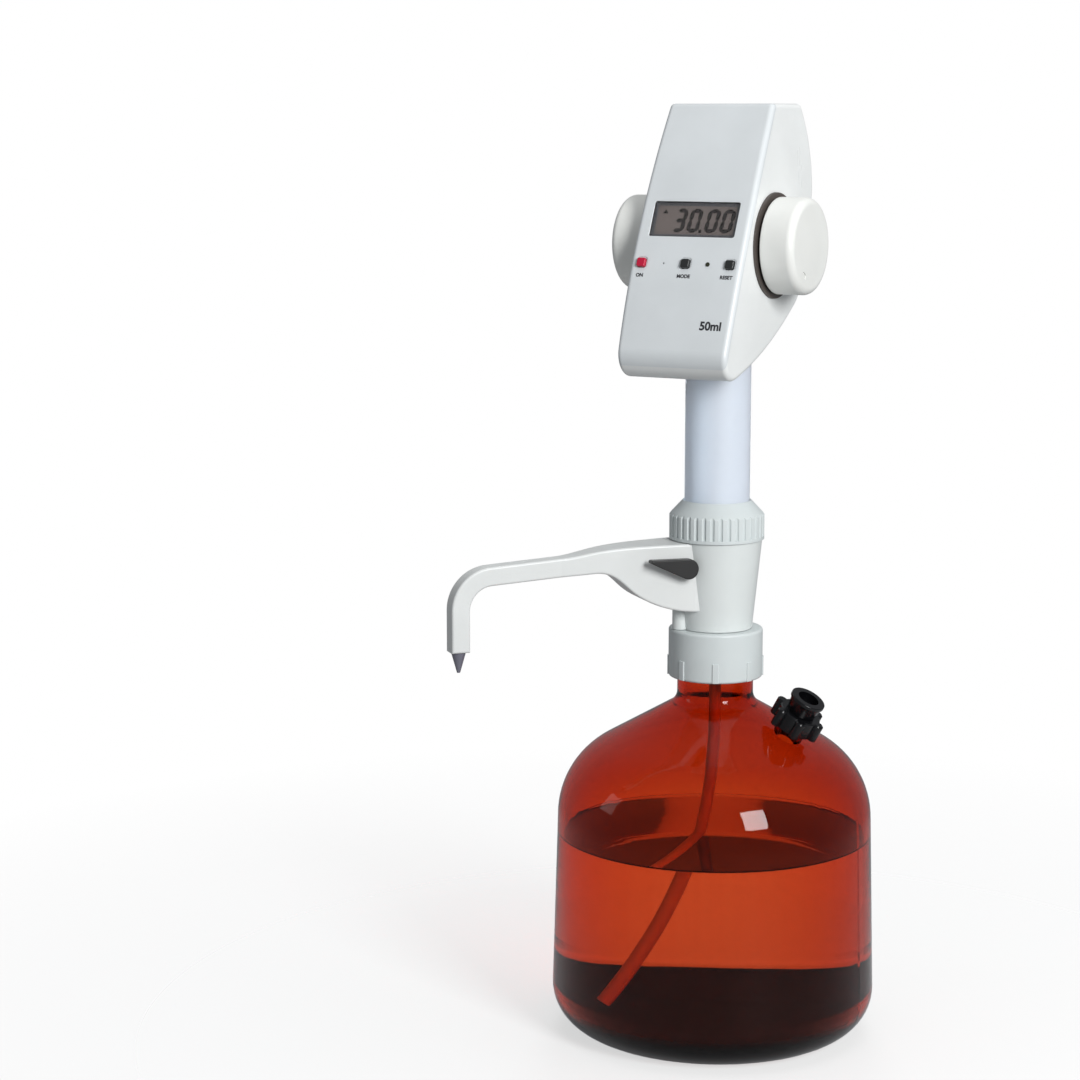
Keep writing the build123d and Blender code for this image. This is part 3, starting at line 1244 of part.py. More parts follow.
knob_axis = Axis((0, 0, KNOB_Z), (1, 0, 0))
with BuildPart() as right_knob:
    with BuildSketch(Plane(origin=(0, 0, KNOB_Z), x_dir=(1, 0, 0), z_dir=(0, -1, 0))):
        with BuildLine():
            hollow_x = KNOB_OUTER_X - KNOB_FACE
            Polyline(
                (KNOB_INNER_X, SHAFT_RADIUS),
                (KNOB_INNER_X, KNOB_CORE_RADIUS),
                (hollow_x, KNOB_CORE_RADIUS),
                (hollow_x, KNOB_RADIUS - KNOB_WALL),
                (KNOB_INNER_X, KNOB_RADIUS - KNOB_WALL),
                (KNOB_INNER_X, KNOB_RADIUS),
                (KNOB_OUTER_X, KNOB_RADIUS),
                (KNOB_OUTER_X, 0),
                (hollow_x, 0),
                (hollow_x, SHAFT_RADIUS),
                close=True,
            )
        make_face()
    revolve(axis=knob_axis)
    rim = right_knob.edges().filter_by(GeomType.CIRCLE).filter_by(
        lambda e: abs(e.radius - KNOB_RADIUS) < MATCH and e.center().X > hollow_x)
    fillet(rim, KNOB_RIM_ROUND)
    inner_rim = right_knob.edges().filter_by(GeomType.CIRCLE).filter_by(
        lambda e: abs(e.radius - KNOB_RADIUS) < MATCH and e.center().X < KNOB_INNER_X + MATCH)
    fillet(inner_rim, KNOB_INNER_ROUND)
    with BuildSketch(Plane.YZ.offset(KNOB_INNER_X + KNOB_WEB_SETBACK).shift_origin(
            (KNOB_INNER_X + KNOB_WEB_SETBACK, 0, KNOB_Z))):
        web_middle = (KNOB_CORE_RADIUS + KNOB_RADIUS - KNOB_WALL) / 2
        with PolarLocations(web_middle, KNOB_WEBS, start_angle=KNOB_WEB_TURN):
            Rectangle(KNOB_RADIUS - KNOB_WALL - KNOB_CORE_RADIUS + 2 * KNOB_WEB_ROOT, KNOB_WEB_THICK)
    extrude(amount=KNOB_OUTER_X - KNOB_FACE - KNOB_INNER_X - KNOB_WEB_SETBACK)
    with BuildSketch(Plane.YZ.offset(KNOB_OUTER_X).shift_origin((KNOB_OUTER_X, 0, KNOB_Z))):
        with PolarLocations(KNOB_DIMPLE_REACH, 1, start_angle=KNOB_DIMPLE_ANGLE):
            with Locations(Location((0, 0, 0), (0, 0, 90))):
                SlotOverall(KNOB_DIMPLE_LENGTH, KNOB_DIMPLE_WIDTH)
    extrude(amount=-KNOB_DIMPLE_DEPTH, mode=Mode.SUBTRACT)
    grub_place = Plane(origin=(KNOB_INNER_X + GRUB_SETBACK, 0, KNOB_Z), z_dir=(0, 1, 0))
    with BuildSketch(grub_place):
        Circle(GRUB_RADIUS)
    extrude(amount=KNOB_CORE_RADIUS + 1, mode=Mode.SUBTRACT)
    with BuildSketch(grub_place.offset(KNOB_CORE_RADIUS + 1)):
        Circle(GRUB_ACCESS)
    extrude(amount=KNOB_RADIUS, mode=Mode.SUBTRACT)
right_knob.part.label = "right_knob"
export_step(right_knob.part, "parts/right_knob.step")

with BuildPart() as left_knob:
    mirror(right_knob.part, about=Plane.YZ)
left_knob.part.label = "left_knob"
export_step(left_knob.part, "parts/left_knob.step")

with BuildPart() as grub_screws:
    with BuildSketch(grub_place.offset(SHAFT_RADIUS)):
        Circle(GRUB_RADIUS)
    extrude(amount=GRUB_LENGTH)
    mirror(about=Plane.YZ)
grub_screws.part.label = "grub_screws"
export_step(grub_screws.part, "parts/grub_screws.step")


# Chassis inside the head

guide_inner_x = RACK_WIDTH / 2 + FLAT_GAP
guide_inner_y = rack_back_y + FLAT_GAP
plate_foot_z = CHASSIS_Z + CHASSIS_FLOOR
spigot_outer = BARREL_RADIUS + SLEEVE_GAP - SEAT

with BuildPart() as drive_chassis:
    with BuildSketch(Plane.XY.offset(CHASSIS_Z)):
        with Locations((0, (CHASSIS_FRONT + CHASSIS_BACK) / 2)):
            RectangleRounded(2 * CHASSIS_HALF_WIDTH, CHASSIS_BACK - CHASSIS_FRONT, CHASSIS_CORNER)
    extrude(amount=CHASSIS_FLOOR)
    with Locations((0, 0, BARREL_TOP_Z)):
        Cylinder(spigot_outer, CHASSIS_Z - BARREL_TOP_Z, align=(Align.CENTER, Align.CENTER, Align.MIN))
    with Locations((0, 0, BARREL_TOP_Z)):
        Cylinder(
            spigot_outer - SPIGOT_WALL,
            CHASSIS_Z - BARREL_TOP_Z + CHASSIS_FLOOR,
            align=(Align.CENTER, Align.CENTER, Align.MIN),
            mode=Mode.SUBTRACT,
        )
    for plate_x in (LEFT_PLATE_X, RIGHT_PLATE_X):
        with BuildSketch(Plane.YZ.offset(plate_x)):
            with Locations((0, (plate_foot_z + KNOB_Z) / 2)):
                Rectangle(2 * PLATE_HALF_DEPTH, KNOB_Z - plate_foot_z)
            with Locations((0, KNOB_Z)):
                Circle(PLATE_HALF_DEPTH)
                Circle(SHAFT_RADIUS + RUNNING, mode=Mode.SUBTRACT)
            with Locations((0, PINION_Z)):
                Circle(PINION_AXLE_RADIUS + RUNNING, mode=Mode.SUBTRACT)
        extrude(amount=PLATE_THICK)
    with BuildSketch(Plane.XY.offset(CHASSIS_Z)):
        with BuildLine():
            outer_x = guide_inner_x + GUIDE_WALL
            outer_y = guide_inner_y + GUIDE_WALL
            cheek_y = guide_inner_y - GUIDE_DEPTH
            Polyline(
                (-outer_x, cheek_y),
                (-outer_x, outer_y),
                (outer_x, outer_y),
                (outer_x, cheek_y),
                (guide_inner_x, cheek_y),
                (guide_inner_x, guide_inner_y),
                (-guide_inner_x, guide_inner_y),
                (-guide_inner_x, cheek_y),
                close=True,
            )
        make_face()
    extrude(amount=GUIDE_TOP_Z - CHASSIS_Z)
    with BuildSketch(Plane.XY.offset(CHASSIS_Z)):
        for side in (-1, 1):
            for place_y in CHASSIS_SCREW_Y:
                with Locations((side * CHASSIS_SCREW_X, place_y)):
                    Circle(CHASSIS_SCREW_SHANK)
    extrude(amount=CHASSIS_FLOOR, mode=Mode.SUBTRACT)
drive_chassis.part.label = "drive_chassis"
export_step(drive_chassis.part, "parts/drive_chassis.step")

with BuildPart() as chassis_screws:
    for side in (-1, 1):
        for place_y in CHASSIS_SCREW_Y:
            with Locations((side * CHASSIS_SCREW_X, place_y, plate_foot_z)):
                Cylinder(
                    CHASSIS_SCREW_HEAD,
                    CHASSIS_SCREW_RISE,
                    align=(Align.CENTER, Align.CENTER, Align.MIN),
                )
                Cylinder(
                    CHASSIS_SCREW_SHANK,
                    CHASSIS_FLOOR + CHASSIS_SCREW_BITE,
                    align=(Align.CENTER, Align.CENTER, Align.MAX),
                )
chassis_screws.part.label = "chassis_screws"
export_step(chassis_screws.part, "parts/chassis_screws.step")


# Head casing: outer form, cavity and the line where its two halves meet

head_corners = (
    Vector(HEAD_TOP_FRONT_Y, HEAD_TOP_Z),
    Vector(HEAD_TIP_Y, HEAD_TIP_Z),
    Vector(HEAD_HEEL_Y, HEAD_HEEL_Z),
    Vector(HEAD_BACK_Y, HEAD_BACK_Z),
    Vector(HEAD_TOP_BACK_Y, HEAD_TOP_Z),
)
head_bulges = (FRONT_BULGE, UNDER_BULGE, 0, BACK_BULGE, 0)
head_rounds = (TOP_FRONT_ROUND, TIP_ROUND, HEEL_CORNER_ROUND, BACK_CORNER_ROUND, TOP_BACK_ROUND)


def inset_corner(index, inset):
    """Corner of the casing's side view, moved inwards from both of its sides."""
    corner = head_corners[index]
    before = (corner - head_corners[index - 1]).normalized().rotate(Axis.Z, 90)
    after = (head_corners[(index + 1) % len(head_corners)] - corner).normalized().rotate(Axis.Z, 90)
    return corner + (before + after) * (inset / (1 + before.dot(after)))


def head_outline(inset):
    """Side view of the casing with sharp corners, moved inwards by inset."""
    corners = [inset_corner(index, inset) for index in range(len(head_corners))]
    for index, bulge in enumerate(head_bulges):
        following = corners[(index + 1) % len(corners)]
        if bulge:
            SagittaArc(corners[index], following, -bulge)
        else:
            Line(corners[index], following)
    return corners


with BuildPart() as head_form:
    with BuildSketch(Plane.YZ) as head_side:
        with BuildLine():
            outer_corners = head_outline(0)
        make_face()
        for corner, rounding in zip(outer_corners, head_rounds):
            fillet(head_side.vertices().sort_by_distance(corner)[0], rounding)
    extrude(amount=2 * HEAD_HALF_MIDDLE, both=True)
    with BuildSketch(Plane.XZ):
        with BuildLine():
            for side in (-1, 1):
                ThreePointArc(
                    (side * HEAD_HALF_FOOT, HEAD_FOOT_Z),
                    (side * HEAD_HALF_MIDDLE, HEAD_MIDDLE_Z),
                    (side * HEAD_HALF_TOP, HEAD_TOP_Z),
                )
            Line((-HEAD_HALF_FOOT, HEAD_FOOT_Z), (HEAD_HALF_FOOT, HEAD_FOOT_Z))
            Line((-HEAD_HALF_TOP, HEAD_TOP_Z), (HEAD_HALF_TOP, HEAD_TOP_Z))
        make_face()
    extrude(amount=-2 * HEAD_TIP_Y, both=True, mode=Mode.INTERSECT)
    fillet(head_form.edges().filter_by(lambda e: abs(e.center().X) > HEAD_INNER_HALF), CREASE_ROUND)

screw_places = (
    (UPPER_SCREW_Z, UPPER_SPLIT_Y),
    (LOWER_SCREW_Z, LOWER_SPLIT_Y),
)
head_depth = HEAD_BACK_Y - HEAD_TIP_Y

with BuildPart() as head_cavity:
    with BuildSketch(Plane.YZ) as cavity_side:
        with BuildLine():
            inner_corners = head_outline(HEAD_WALL)
        make_face()
        for corner, rounding in zip(inner_corners, head_rounds):
            fillet(cavity_side.vertices().sort_by_distance(corner)[0], max(rounding - HEAD_WALL, INNER_ROUND))
    extrude(amount=HEAD_INNER_HALF, both=True)
    for side in (-1, 1):
        for screw_z, split_y in screw_places:
            with Locations((side * SCREW_X, 0, screw_z)):
                Cylinder(PILLAR_RADIUS, 2 * head_depth, rotation=(90, 0, 0), mode=Mode.SUBTRACT)
        with Locations((side * HEAD_INNER_HALF, (LEDGE_FRONT + LEDGE_BACK) / 2, CHASSIS_Z)):
            Box(
                2 * LEDGE_WIDTH,
                LEDGE_BACK - LEDGE_FRONT,
                CHASSIS_Z - HEAD_TIP_Z,
                align=(Align.CENTER, Align.CENTER, Align.MAX),
                mode=Mode.SUBTRACT,
            )

front_half = front_chord.length / 2
front_radius = (front_half**2 + FRONT_BULGE**2) / (2 * FRONT_BULGE)
seam_half = front_half + SEAM_REACH
seam_middle = panel_middle - panel_out * PANEL_THICK
seam_sag = panel_out * (front_radius - sqrt(front_radius**2 - seam_half**2))
seam_top = seam_middle - seam_sag + panel_up * seam_half
seam_foot = seam_middle - seam_sag - panel_up * seam_half

with BuildPart() as front_region:
    with BuildSketch(Plane.YZ):
        with BuildLine():
            ThreePointArc(
                (seam_top.Y, seam_top.Z), (seam_middle.Y, seam_middle.Z), (seam_foot.Y, seam_foot.Z)
            )
            Polyline(
                (seam_foot.Y, seam_foot.Z),
                (-head_depth, seam_foot.Z),
                (-head_depth, seam_top.Z),
                (seam_top.Y, seam_top.Z),
            )
        make_face()
    extrude(amount=2 * HEAD_HALF_MIDDLE, both=True)
    for side in (-1, 1):
        for screw_z, split_y in screw_places:
            with BuildSketch(Plane.XZ.offset(-split_y)):
                with Locations((side * SCREW_X, screw_z)):
                    Circle(PILLAR_RADIUS + BOSS_MARGIN)
            extrude(amount=BOSS_LENGTH)

post_places = [
    (side * (BOARD_WIDTH / 2 - POST_INSET), up)
    for side in (-1, 1)
    for up in (BOARD_FOOT_UP + POST_INSET, BOARD_TOP_UP - POST_INSET)
]
key_places = [(side * KEY_PITCH, KEY_UP) for side in (-1, 0, 1)]

with BuildPart() as front_panel:
    add(head_form.part)
    add(front_region.part, mode=Mode.INTERSECT)
    add(head_cavity.part, mode=Mode.SUBTRACT)
    with BuildSketch(panel_plane):
        with Locations((0, LCD_UP)):
            RectangleRounded(LCD_WIDTH, LCD_HEIGHT, LCD_CORNER)
        with Locations(*key_places):
            RectangleRounded(KEY_SIZE + 2 * KEY_GAP, KEY_SIZE + 2 * KEY_GAP, KEY_CORNER + KEY_GAP)
        with Locations((KEY_PITCH / 2, KEY_UP)):
            Circle(LED_RADIUS)
        with Locations((-KEY_PITCH / 2, KEY_UP)):
            Circle(PINHOLE_RADIUS)
    extrude(amount=PANEL_THICK + 1, both=True, mode=Mode.SUBTRACT)
    with BuildSketch(panel_plane.offset(-LCD_RECESS)):
        with Locations((0, LCD_UP)):
            RectangleRounded(LCD_WIDTH + 2 * LENS_LEDGE, LCD_HEIGHT + 2 * LENS_LEDGE, LCD_CORNER)
    extrude(amount=-PANEL_THICK, mode=Mode.SUBTRACT)
    with BuildSketch(panel_plane.offset(-KEY_BEZEL_DEPTH)):
        with Locations(*key_places):
            RectangleRounded(KEY_SIZE + 2 * KEY_BEZEL, KEY_SIZE + 2 * KEY_BEZEL, KEY_CORNER + KEY_BEZEL)
    extrude(amount=1, mode=Mode.SUBTRACT)
    with BuildSketch(panel_plane.offset(-BOARD_SETBACK)):
        with Locations(*post_places):
            Circle(POST_RADIUS)
    extrude(until=Until.NEXT)
    with BuildSketch(panel_plane.offset(-BOARD_SETBACK)):
        with Locations(*post_places):
            Circle(POST_SCREW_SHANK)
    extrude(amount=POST_SCREW_BITE, mode=Mode.SUBTRACT)
    for side in (-1, 1):
        for screw_z, split_y in screw_places:
            with BuildSketch(Plane.XZ.offset(-split_y)):
                with Locations((side * SCREW_X, screw_z)):
                    Circle(SCREW_SHANK_RADIUS)
            extrude(amount=SCREW_BITE, mode=Mode.SUBTRACT)
front_panel.part.label = "front_panel"
export_step(front_panel.part, "parts/front_panel.step")

with BuildPart() as rear_housing:
    add(head_form.part)
    add(front_region.part, mode=Mode.SUBTRACT)
    add(head_cavity.part, mode=Mode.SUBTRACT)
    with Locations((0, 0, HEAD_FOOT_Z)):
        Cylinder(
            SLEEVE_RADIUS + SEAT,
            CHASSIS_Z - HEAD_FOOT_Z,
            align=(Align.CENTER, Align.CENTER, Align.MIN),
            mode=Mode.SUBTRACT,
        )
    with BuildSketch(Plane.YZ):
        with Locations((0, KNOB_Z)):
            Circle(BUSH_RADIUS)
    extrude(amount=BUSH_OUTER_X, both=True, mode=Mode.SUBTRACT)
    for side in (-1, 1):
        with Locations((side * (KNOB_RING_INNER_X + KNOB_RING_OUTER_X) / 2, 0, KNOB_Z)):
            Cylinder(
                KNOB_RING_RADIUS + SEAT,
                KNOB_RING_OUTER_X - KNOB_RING_INNER_X,
                rotation=(0, 90, 0),
                mode=Mode.SUBTRACT,
            )
        for screw_z, split_y in screw_places:
            with BuildSketch(Plane.XZ.offset(-split_y)):
                with Locations((side * SCREW_X, screw_z)):
                    Circle(SCREW_SHANK_RADIUS)
            extrude(amount=-SCREW_FLOOR, mode=Mode.SUBTRACT)
            with BuildSketch(Plane.XZ.offset(-split_y - SCREW_FLOOR)):
                with Locations((side * SCREW_X, screw_z)):
                    Circle(TUNNEL_RADIUS)
            extrude(amount=-head_depth, mode=Mode.SUBTRACT)
    with BuildSketch(Plane.XY.offset(CHASSIS_Z)):
        for side in (-1, 1):
            for place_y in CHASSIS_SCREW_Y:
                with Locations((side * CHASSIS_SCREW_X, place_y)):
                    Circle(CHASSIS_SCREW_SHANK)
    extrude(amount=-CHASSIS_SCREW_BITE, mode=Mode.SUBTRACT)
    with BuildSketch(back_plane):
        RectangleRounded(COVER_WIDTH + 2 * COVER_GAP, COVER_HEIGHT + 2 * COVER_GAP, COVER_CORNER + COVER_GAP)
    extrude(amount=-COVER_THICK, mode=Mode.SUBTRACT)
    with BuildSketch(back_plane):
        RectangleRounded(BAY_WIDTH, BAY_HEIGHT, COVER_CORNER)
    extrude(amount=-HEAD_WALL - 1, mode=Mode.SUBTRACT)
rear_housing.part.label = "rear_housing"
export_step(rear_housing.part, "parts/rear_housing.step")

with BuildPart() as housing_screws:
    for side in (-1, 1):
        for screw_z, split_y in screw_places:
            with BuildSketch(Plane.XZ.offset(-split_y - SCREW_FLOOR)):
                with Locations((side * SCREW_X, screw_z)):
                    Circle(SCREW_HEAD_RADIUS)
            extrude(amount=-SCREW_HEAD_HEIGHT)
            with BuildSketch(Plane.XZ.offset(-split_y - SCREW_FLOOR)):
                with Locations((side * SCREW_X, screw_z)):
                    Circle(SCREW_SHANK_RADIUS)
            extrude(amount=SCREW_FLOOR + SCREW_BITE)
housing_screws.part.label = "housing_screws"
export_step(housing_screws.part, "parts/housing_screws.step")


# Where the shaft leaves the head: bushes and dark rings

with BuildPart() as shaft_bushes:
    for side in (-1, 1):
        with BuildSketch(Plane.YZ.offset(side * HEAD_INNER_HALF)):
            with Locations((0, KNOB_Z)):
                Circle(BUSH_RADIUS)
                Circle(SHAFT_RADIUS + RUNNING, mode=Mode.SUBTRACT)
        extrude(amount=side * (BUSH_OUTER_X - HEAD_INNER_HALF))
        with BuildSketch(Plane.YZ.offset(side * HEAD_INNER_HALF)):
            with Locations((0, KNOB_Z)):
                Circle(BUSH_FLANGE_RADIUS)
                Circle(SHAFT_RADIUS + RUNNING, mode=Mode.SUBTRACT)
        extrude(amount=-side * BUSH_FLANGE_THICK)
shaft_bushes.part.label = "shaft_bushes"
export_step(shaft_bushes.part, "parts/shaft_bushes.step")

with BuildPart() as knob_rings:
    for side in (-1, 1):
        with BuildSketch(Plane.YZ.offset(side * KNOB_RING_INNER_X)):
            with Locations((0, KNOB_Z)):
                Circle(KNOB_RING_RADIUS)
                Circle(KNOB_RING_BORE, mode=Mode.SUBTRACT)
        extrude(amount=side * (KNOB_RING_OUTER_X - KNOB_RING_INNER_X))
knob_rings.part.label = "knob_rings"
export_step(knob_rings.part, "parts/knob_rings.step")


# Display

module_front = LCD_RECESS + LENS_THICK
with BuildPart() as lcd_window:
    with BuildSketch(panel_plane.offset(-LCD_RECESS)):
        with Locations((0, LCD_UP)):
            RectangleRounded(
                LCD_WIDTH + 2 * (LENS_LEDGE - SEAT), LCD_HEIGHT + 2 * (LENS_LEDGE - SEAT), LCD_CORNER
            )
    extrude(amount=-LENS_THICK)
lcd_window.part.label = "lcd_window"
export_step(lcd_window.part, "parts/lcd_window.step")

with BuildPart() as lcd_module:
    with BuildSketch(panel_plane.offset(-MODULE_SETBACK)):
        with Locations((0, LCD_UP)):
            Rectangle(LCD_WIDTH + 2 * MODULE_BORDER, LCD_HEIGHT + 2 * MODULE_BORDER)
    extrude(amount=-MODULE_THICK)
    with BuildSketch(panel_plane.offset(-module_front - SEAT)):
        with Locations((0, LCD_UP)):
            Rectangle(LCD_WIDTH, LCD_HEIGHT)
    extrude(amount=-MODULE_THICK)
    with BuildSketch(panel_plane.offset(-MODULE_SETBACK - MODULE_THICK)):
        with Locations((0, LCD_UP)):
            with GridLocations(LCD_WIDTH, LCD_HEIGHT, 2, 2):
                Circle(MODULE_LEG)
    extrude(amount=-(BOARD_SETBACK - MODULE_SETBACK - MODULE_THICK))
lcd_module.part.label = "lcd_module"
export_step(lcd_module.part, "parts/lcd_module.step")


# Circuit board and what stands on it

with BuildPart() as circuit_board:
    with BuildSketch(panel_plane.offset(-BOARD_SETBACK)):
        with Locations((0, (BOARD_FOOT_UP + BOARD_TOP_UP) / 2)):
            RectangleRounded(BOARD_WIDTH, BOARD_TOP_UP - BOARD_FOOT_UP, BOARD_CORNER)
        with Locations(*post_places):
            Circle(POST_SCREW_SHANK, mode=Mode.SUBTRACT)
    extrude(amount=-BOARD_THICK)
circuit_board.part.label = "circuit_board"
export_step(circuit_board.part, "parts/circuit_board.step")

with BuildPart() as board_screws:
    with BuildSketch(panel_plane.offset(-BOARD_SETBACK - BOARD_THICK)):
        with Locations(*post_places):
            Circle(POST_SCREW_HEAD)
    extrude(amount=-POST_SCREW_RISE)
    with BuildSketch(panel_plane.offset(-BOARD_SETBACK - BOARD_THICK)):
        with Locations(*post_places):
            Circle(POST_SCREW_SHANK)
    extrude(amount=BOARD_THICK + POST_SCREW_BITE)
board_screws.part.label = "board_screws"
export_step(board_screws.part, "parts/board_screws.step")

with BuildPart() as tact_switches:
    with BuildSketch(panel_plane.offset(-BOARD_SETBACK)):
        with Locations(*key_places):
            Rectangle(SWITCH_SIZE, SWITCH_SIZE)
    extrude(amount=SWITCH_BODY)
    with BuildSketch(panel_plane.offset(-BOARD_SETBACK)):
        with Locations(*key_places):
            Circle(SWITCH_PLUNGER)
    extrude(amount=SWITCH_TOP)
tact_switches.part.label = "tact_switches"
export_step(tact_switches.part, "parts/tact_switches.step")

with BuildPart() as status_led:
    with BuildSketch(panel_plane.offset(-BOARD_SETBACK)):
        with Locations((KEY_PITCH / 2, KEY_UP)):
            Circle(LED_RADIUS)
    extrude(amount=BOARD_SETBACK + LED_PROUD)
    fillet(status_led.faces().sort_by(Axis(panel_middle, panel_out))[-1].edges(), LED_PROUD)
status_led.part.label = "status_led"
export_step(status_led.part, "parts/status_led.step")

shaft_up = panel_plane.to_local_coords(Vector(0, 0, KNOB_Z)).Y
shaft_depth = -panel_plane.to_local_coords(Vector(0, 0, KNOB_Z)).Z
disc_edge_depth = shaft_depth - ENCODER_RADIUS
sensor_x = ENCODER_X + ENCODER_THICK / 2

with BuildPart() as encoder_sensor:
    with BuildSketch(panel_plane.offset(-BOARD_SETBACK - BOARD_THICK)):
        with Locations((sensor_x, shaft_up)):
            Rectangle(SENSOR_WIDTH, SENSOR_HEIGHT)
    extrude(amount=-(disc_edge_depth + SENSOR_BITE - BOARD_SETBACK - BOARD_THICK))
    with BuildSketch(panel_plane.offset(-disc_edge_depth + 1)):
        with Locations((sensor_x, shaft_up)):
            Rectangle(SENSOR_SLOT, SENSOR_HEIGHT)
    extrude(amount=-SENSOR_BITE - 1, mode=Mode.SUBTRACT)
encoder_sensor.part.label = "encoder_sensor"
export_step(encoder_sensor.part, "parts/encoder_sensor.step")


# Keys: each cap has a lip behind the panel and a stem over its switch

key_lip = HEAD_WALL + FLAT_GAP
stem_end = BOARD_SETBACK - SWITCH_TOP - KEY_TRAVEL - FLAT_GAP
key_names = ("on_button", "mode_button", "reset_button")

for key_name, key_place in zip(key_names, key_places):
    with BuildPart() as key:
        with BuildSketch(panel_plane.offset(-key_lip)):
            with Locations(key_place):
                RectangleRounded(KEY_SIZE, KEY_SIZE, KEY_CORNER)
        extrude(amount=key_lip + KEY_PROUD)
        fillet(key.faces().sort_by(Axis(panel_middle, panel_out))[-1].edges(), KEY_TOP_ROUND)
        with BuildSketch(panel_plane.offset(-key_lip)):
            with Locations(key_place):
                Rectangle(KEY_SIZE - 2 * KEY_GAP, KEY_SIZE + 2 * KEY_FLANGE)
        extrude(amount=-KEY_FLANGE_THICK)
        with BuildSketch(panel_plane.offset(-key_lip)):
            with Locations(key_place):
                Circle(KEY_STEM)
        extrude(amount=-(stem_end - key_lip))
    key.part.label = key_name
    export_step(key.part, f"parts/{key_name}.step")


# Battery bay

cell_depth = COVER_THICK + CELL_GAP + CELL_RADIUS
tray_depth = cell_depth + CELL_RADIUS + CELL_GAP

with BuildPart() as battery_tray:
    with BuildSketch(back_plane.offset(-HEAD_WALL)):
        Rectangle(BAY_WIDTH + 2 * TRAY_WALL, BAY_HEIGHT + 2 * TRAY_WALL)
    extrude(amount=-(tray_depth + TRAY_WALL - HEAD_WALL))
    with BuildSketch(back_plane.offset(-HEAD_WALL)):
        Rectangle(BAY_WIDTH, BAY_HEIGHT)
    extrude(amount=-(tray_depth - HEAD_WALL), mode=Mode.SUBTRACT)
battery_tray.part.label = "battery_tray"
export_step(battery_tray.part, "parts/battery_tray.step")

with BuildPart() as battery_cells:
    for side in (-1, 1):
        cell_centre = back_plane.from_local_coords(Vector(0, side * CELL_PITCH / 2, -cell_depth))
        with BuildSketch(Plane(origin=cell_centre, z_dir=(side, 0, 0))):
            Circle(CELL_RADIUS)
        extrude(amount=CELL_LENGTH / 2 - CELL_NUB_HEIGHT)
        with BuildSketch(Plane(origin=cell_centre, z_dir=(side, 0, 0))):
            Circle(CELL_RADIUS)
        extrude(amount=-CELL_LENGTH / 2)
        with BuildSketch(Plane(origin=cell_centre, z_dir=(side, 0, 0))):
            Circle(CELL_NUB_RADIUS)
        extrude(amount=CELL_LENGTH / 2)
battery_cells.part.label = "battery_cells"
export_step(battery_cells.part, "parts/battery_cells.step")

with BuildPart() as battery_cover:
    with BuildSketch(back_plane.offset(-COVER_THICK)):
        RectangleRounded(COVER_WIDTH, COVER_HEIGHT, COVER_CORNER)
    extrude(amount=COVER_THICK)
    with BuildSketch(back_plane.offset(-COVER_GRIP_DEPTH)):
        with Locations((0, COVER_GRIP_UP)):
            with GridLocations(0, COVER_GRIP_PITCH, 1, COVER_GRIPS):
                SlotOverall(COVER_GRIP_LENGTH, COVER_GRIP_WIDTH)
    extrude(amount=1, mode=Mode.SUBTRACT)
battery_cover.part.label = "battery_cover"
export_step(battery_cover.part, "parts/battery_cover.step")
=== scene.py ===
import json
import math

import bpy
from mathutils import Matrix, Vector


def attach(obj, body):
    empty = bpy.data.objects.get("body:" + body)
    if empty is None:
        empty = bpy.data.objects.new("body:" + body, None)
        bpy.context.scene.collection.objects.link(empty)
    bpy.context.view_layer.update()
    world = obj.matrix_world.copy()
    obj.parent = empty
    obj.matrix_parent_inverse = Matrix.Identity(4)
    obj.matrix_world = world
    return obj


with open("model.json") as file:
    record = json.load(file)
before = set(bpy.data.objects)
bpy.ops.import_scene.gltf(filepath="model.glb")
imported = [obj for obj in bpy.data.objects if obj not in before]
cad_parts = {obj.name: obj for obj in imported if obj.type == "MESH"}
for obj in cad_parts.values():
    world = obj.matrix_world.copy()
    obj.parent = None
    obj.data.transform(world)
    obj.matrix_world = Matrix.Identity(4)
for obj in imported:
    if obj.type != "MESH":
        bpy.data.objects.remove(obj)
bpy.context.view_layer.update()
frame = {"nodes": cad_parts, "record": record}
nodes = frame["nodes"]
MM = 0.001


# Small tools for shader nodes


def socket(group, name, kind, way, value=None):
    """One input or output of a node group."""
    made = group.interface.new_socket(name=name, in_out=way, socket_type=kind)
    if value is not None:
        made.default_value = value


def wire(tree, start, out, end, into):
    tree.links.new(start.outputs[out], end.inputs[into])


def maths(tree, operation, first, second=0.5, clamp=False):
    """A maths node whose first input is a socket and second a socket or number."""
    node = tree.nodes.new("ShaderNodeMath")
    node.operation = operation
    node.use_clamp = clamp
    tree.links.new(first, node.inputs[0])
    if isinstance(second, (int, float)):
        node.inputs[1].default_value = second
    else:
        tree.links.new(second, node.inputs[1])
    return node.outputs[0]


def noise(tree, place, scale, detail=3.0, rough=0.5, stretch=None):
    """A noise value between 0 and 1; stretch scales the three directions."""
    node = tree.nodes.new("ShaderNodeTexNoise")
    node.inputs["Scale"].default_value = scale
    node.inputs["Detail"].default_value = detail
    node.inputs["Roughness"].default_value = rough
    if stretch:
        turn = tree.nodes.new("ShaderNodeMapping")
        turn.inputs["Scale"].default_value = stretch
        tree.links.new(place, turn.inputs["Vector"])
        place = turn.outputs["Vector"]
    tree.links.new(place, node.inputs["Vector"])
    return node.outputs[0]


def spread(tree, value, low_in, high_in, low_out=0.0, high_out=1.0):
    """Stretches part of a value's range over another, and stops at its ends."""
    node = tree.nodes.new("ShaderNodeMapRange")
    for name, number in zip(
        ("From Min", "From Max", "To Min", "To Max"), (low_in, high_in, low_out, high_out)
    ):
        node.inputs[name].default_value = number
    tree.links.new(value, node.inputs["Value"])
    return node.outputs["Result"]


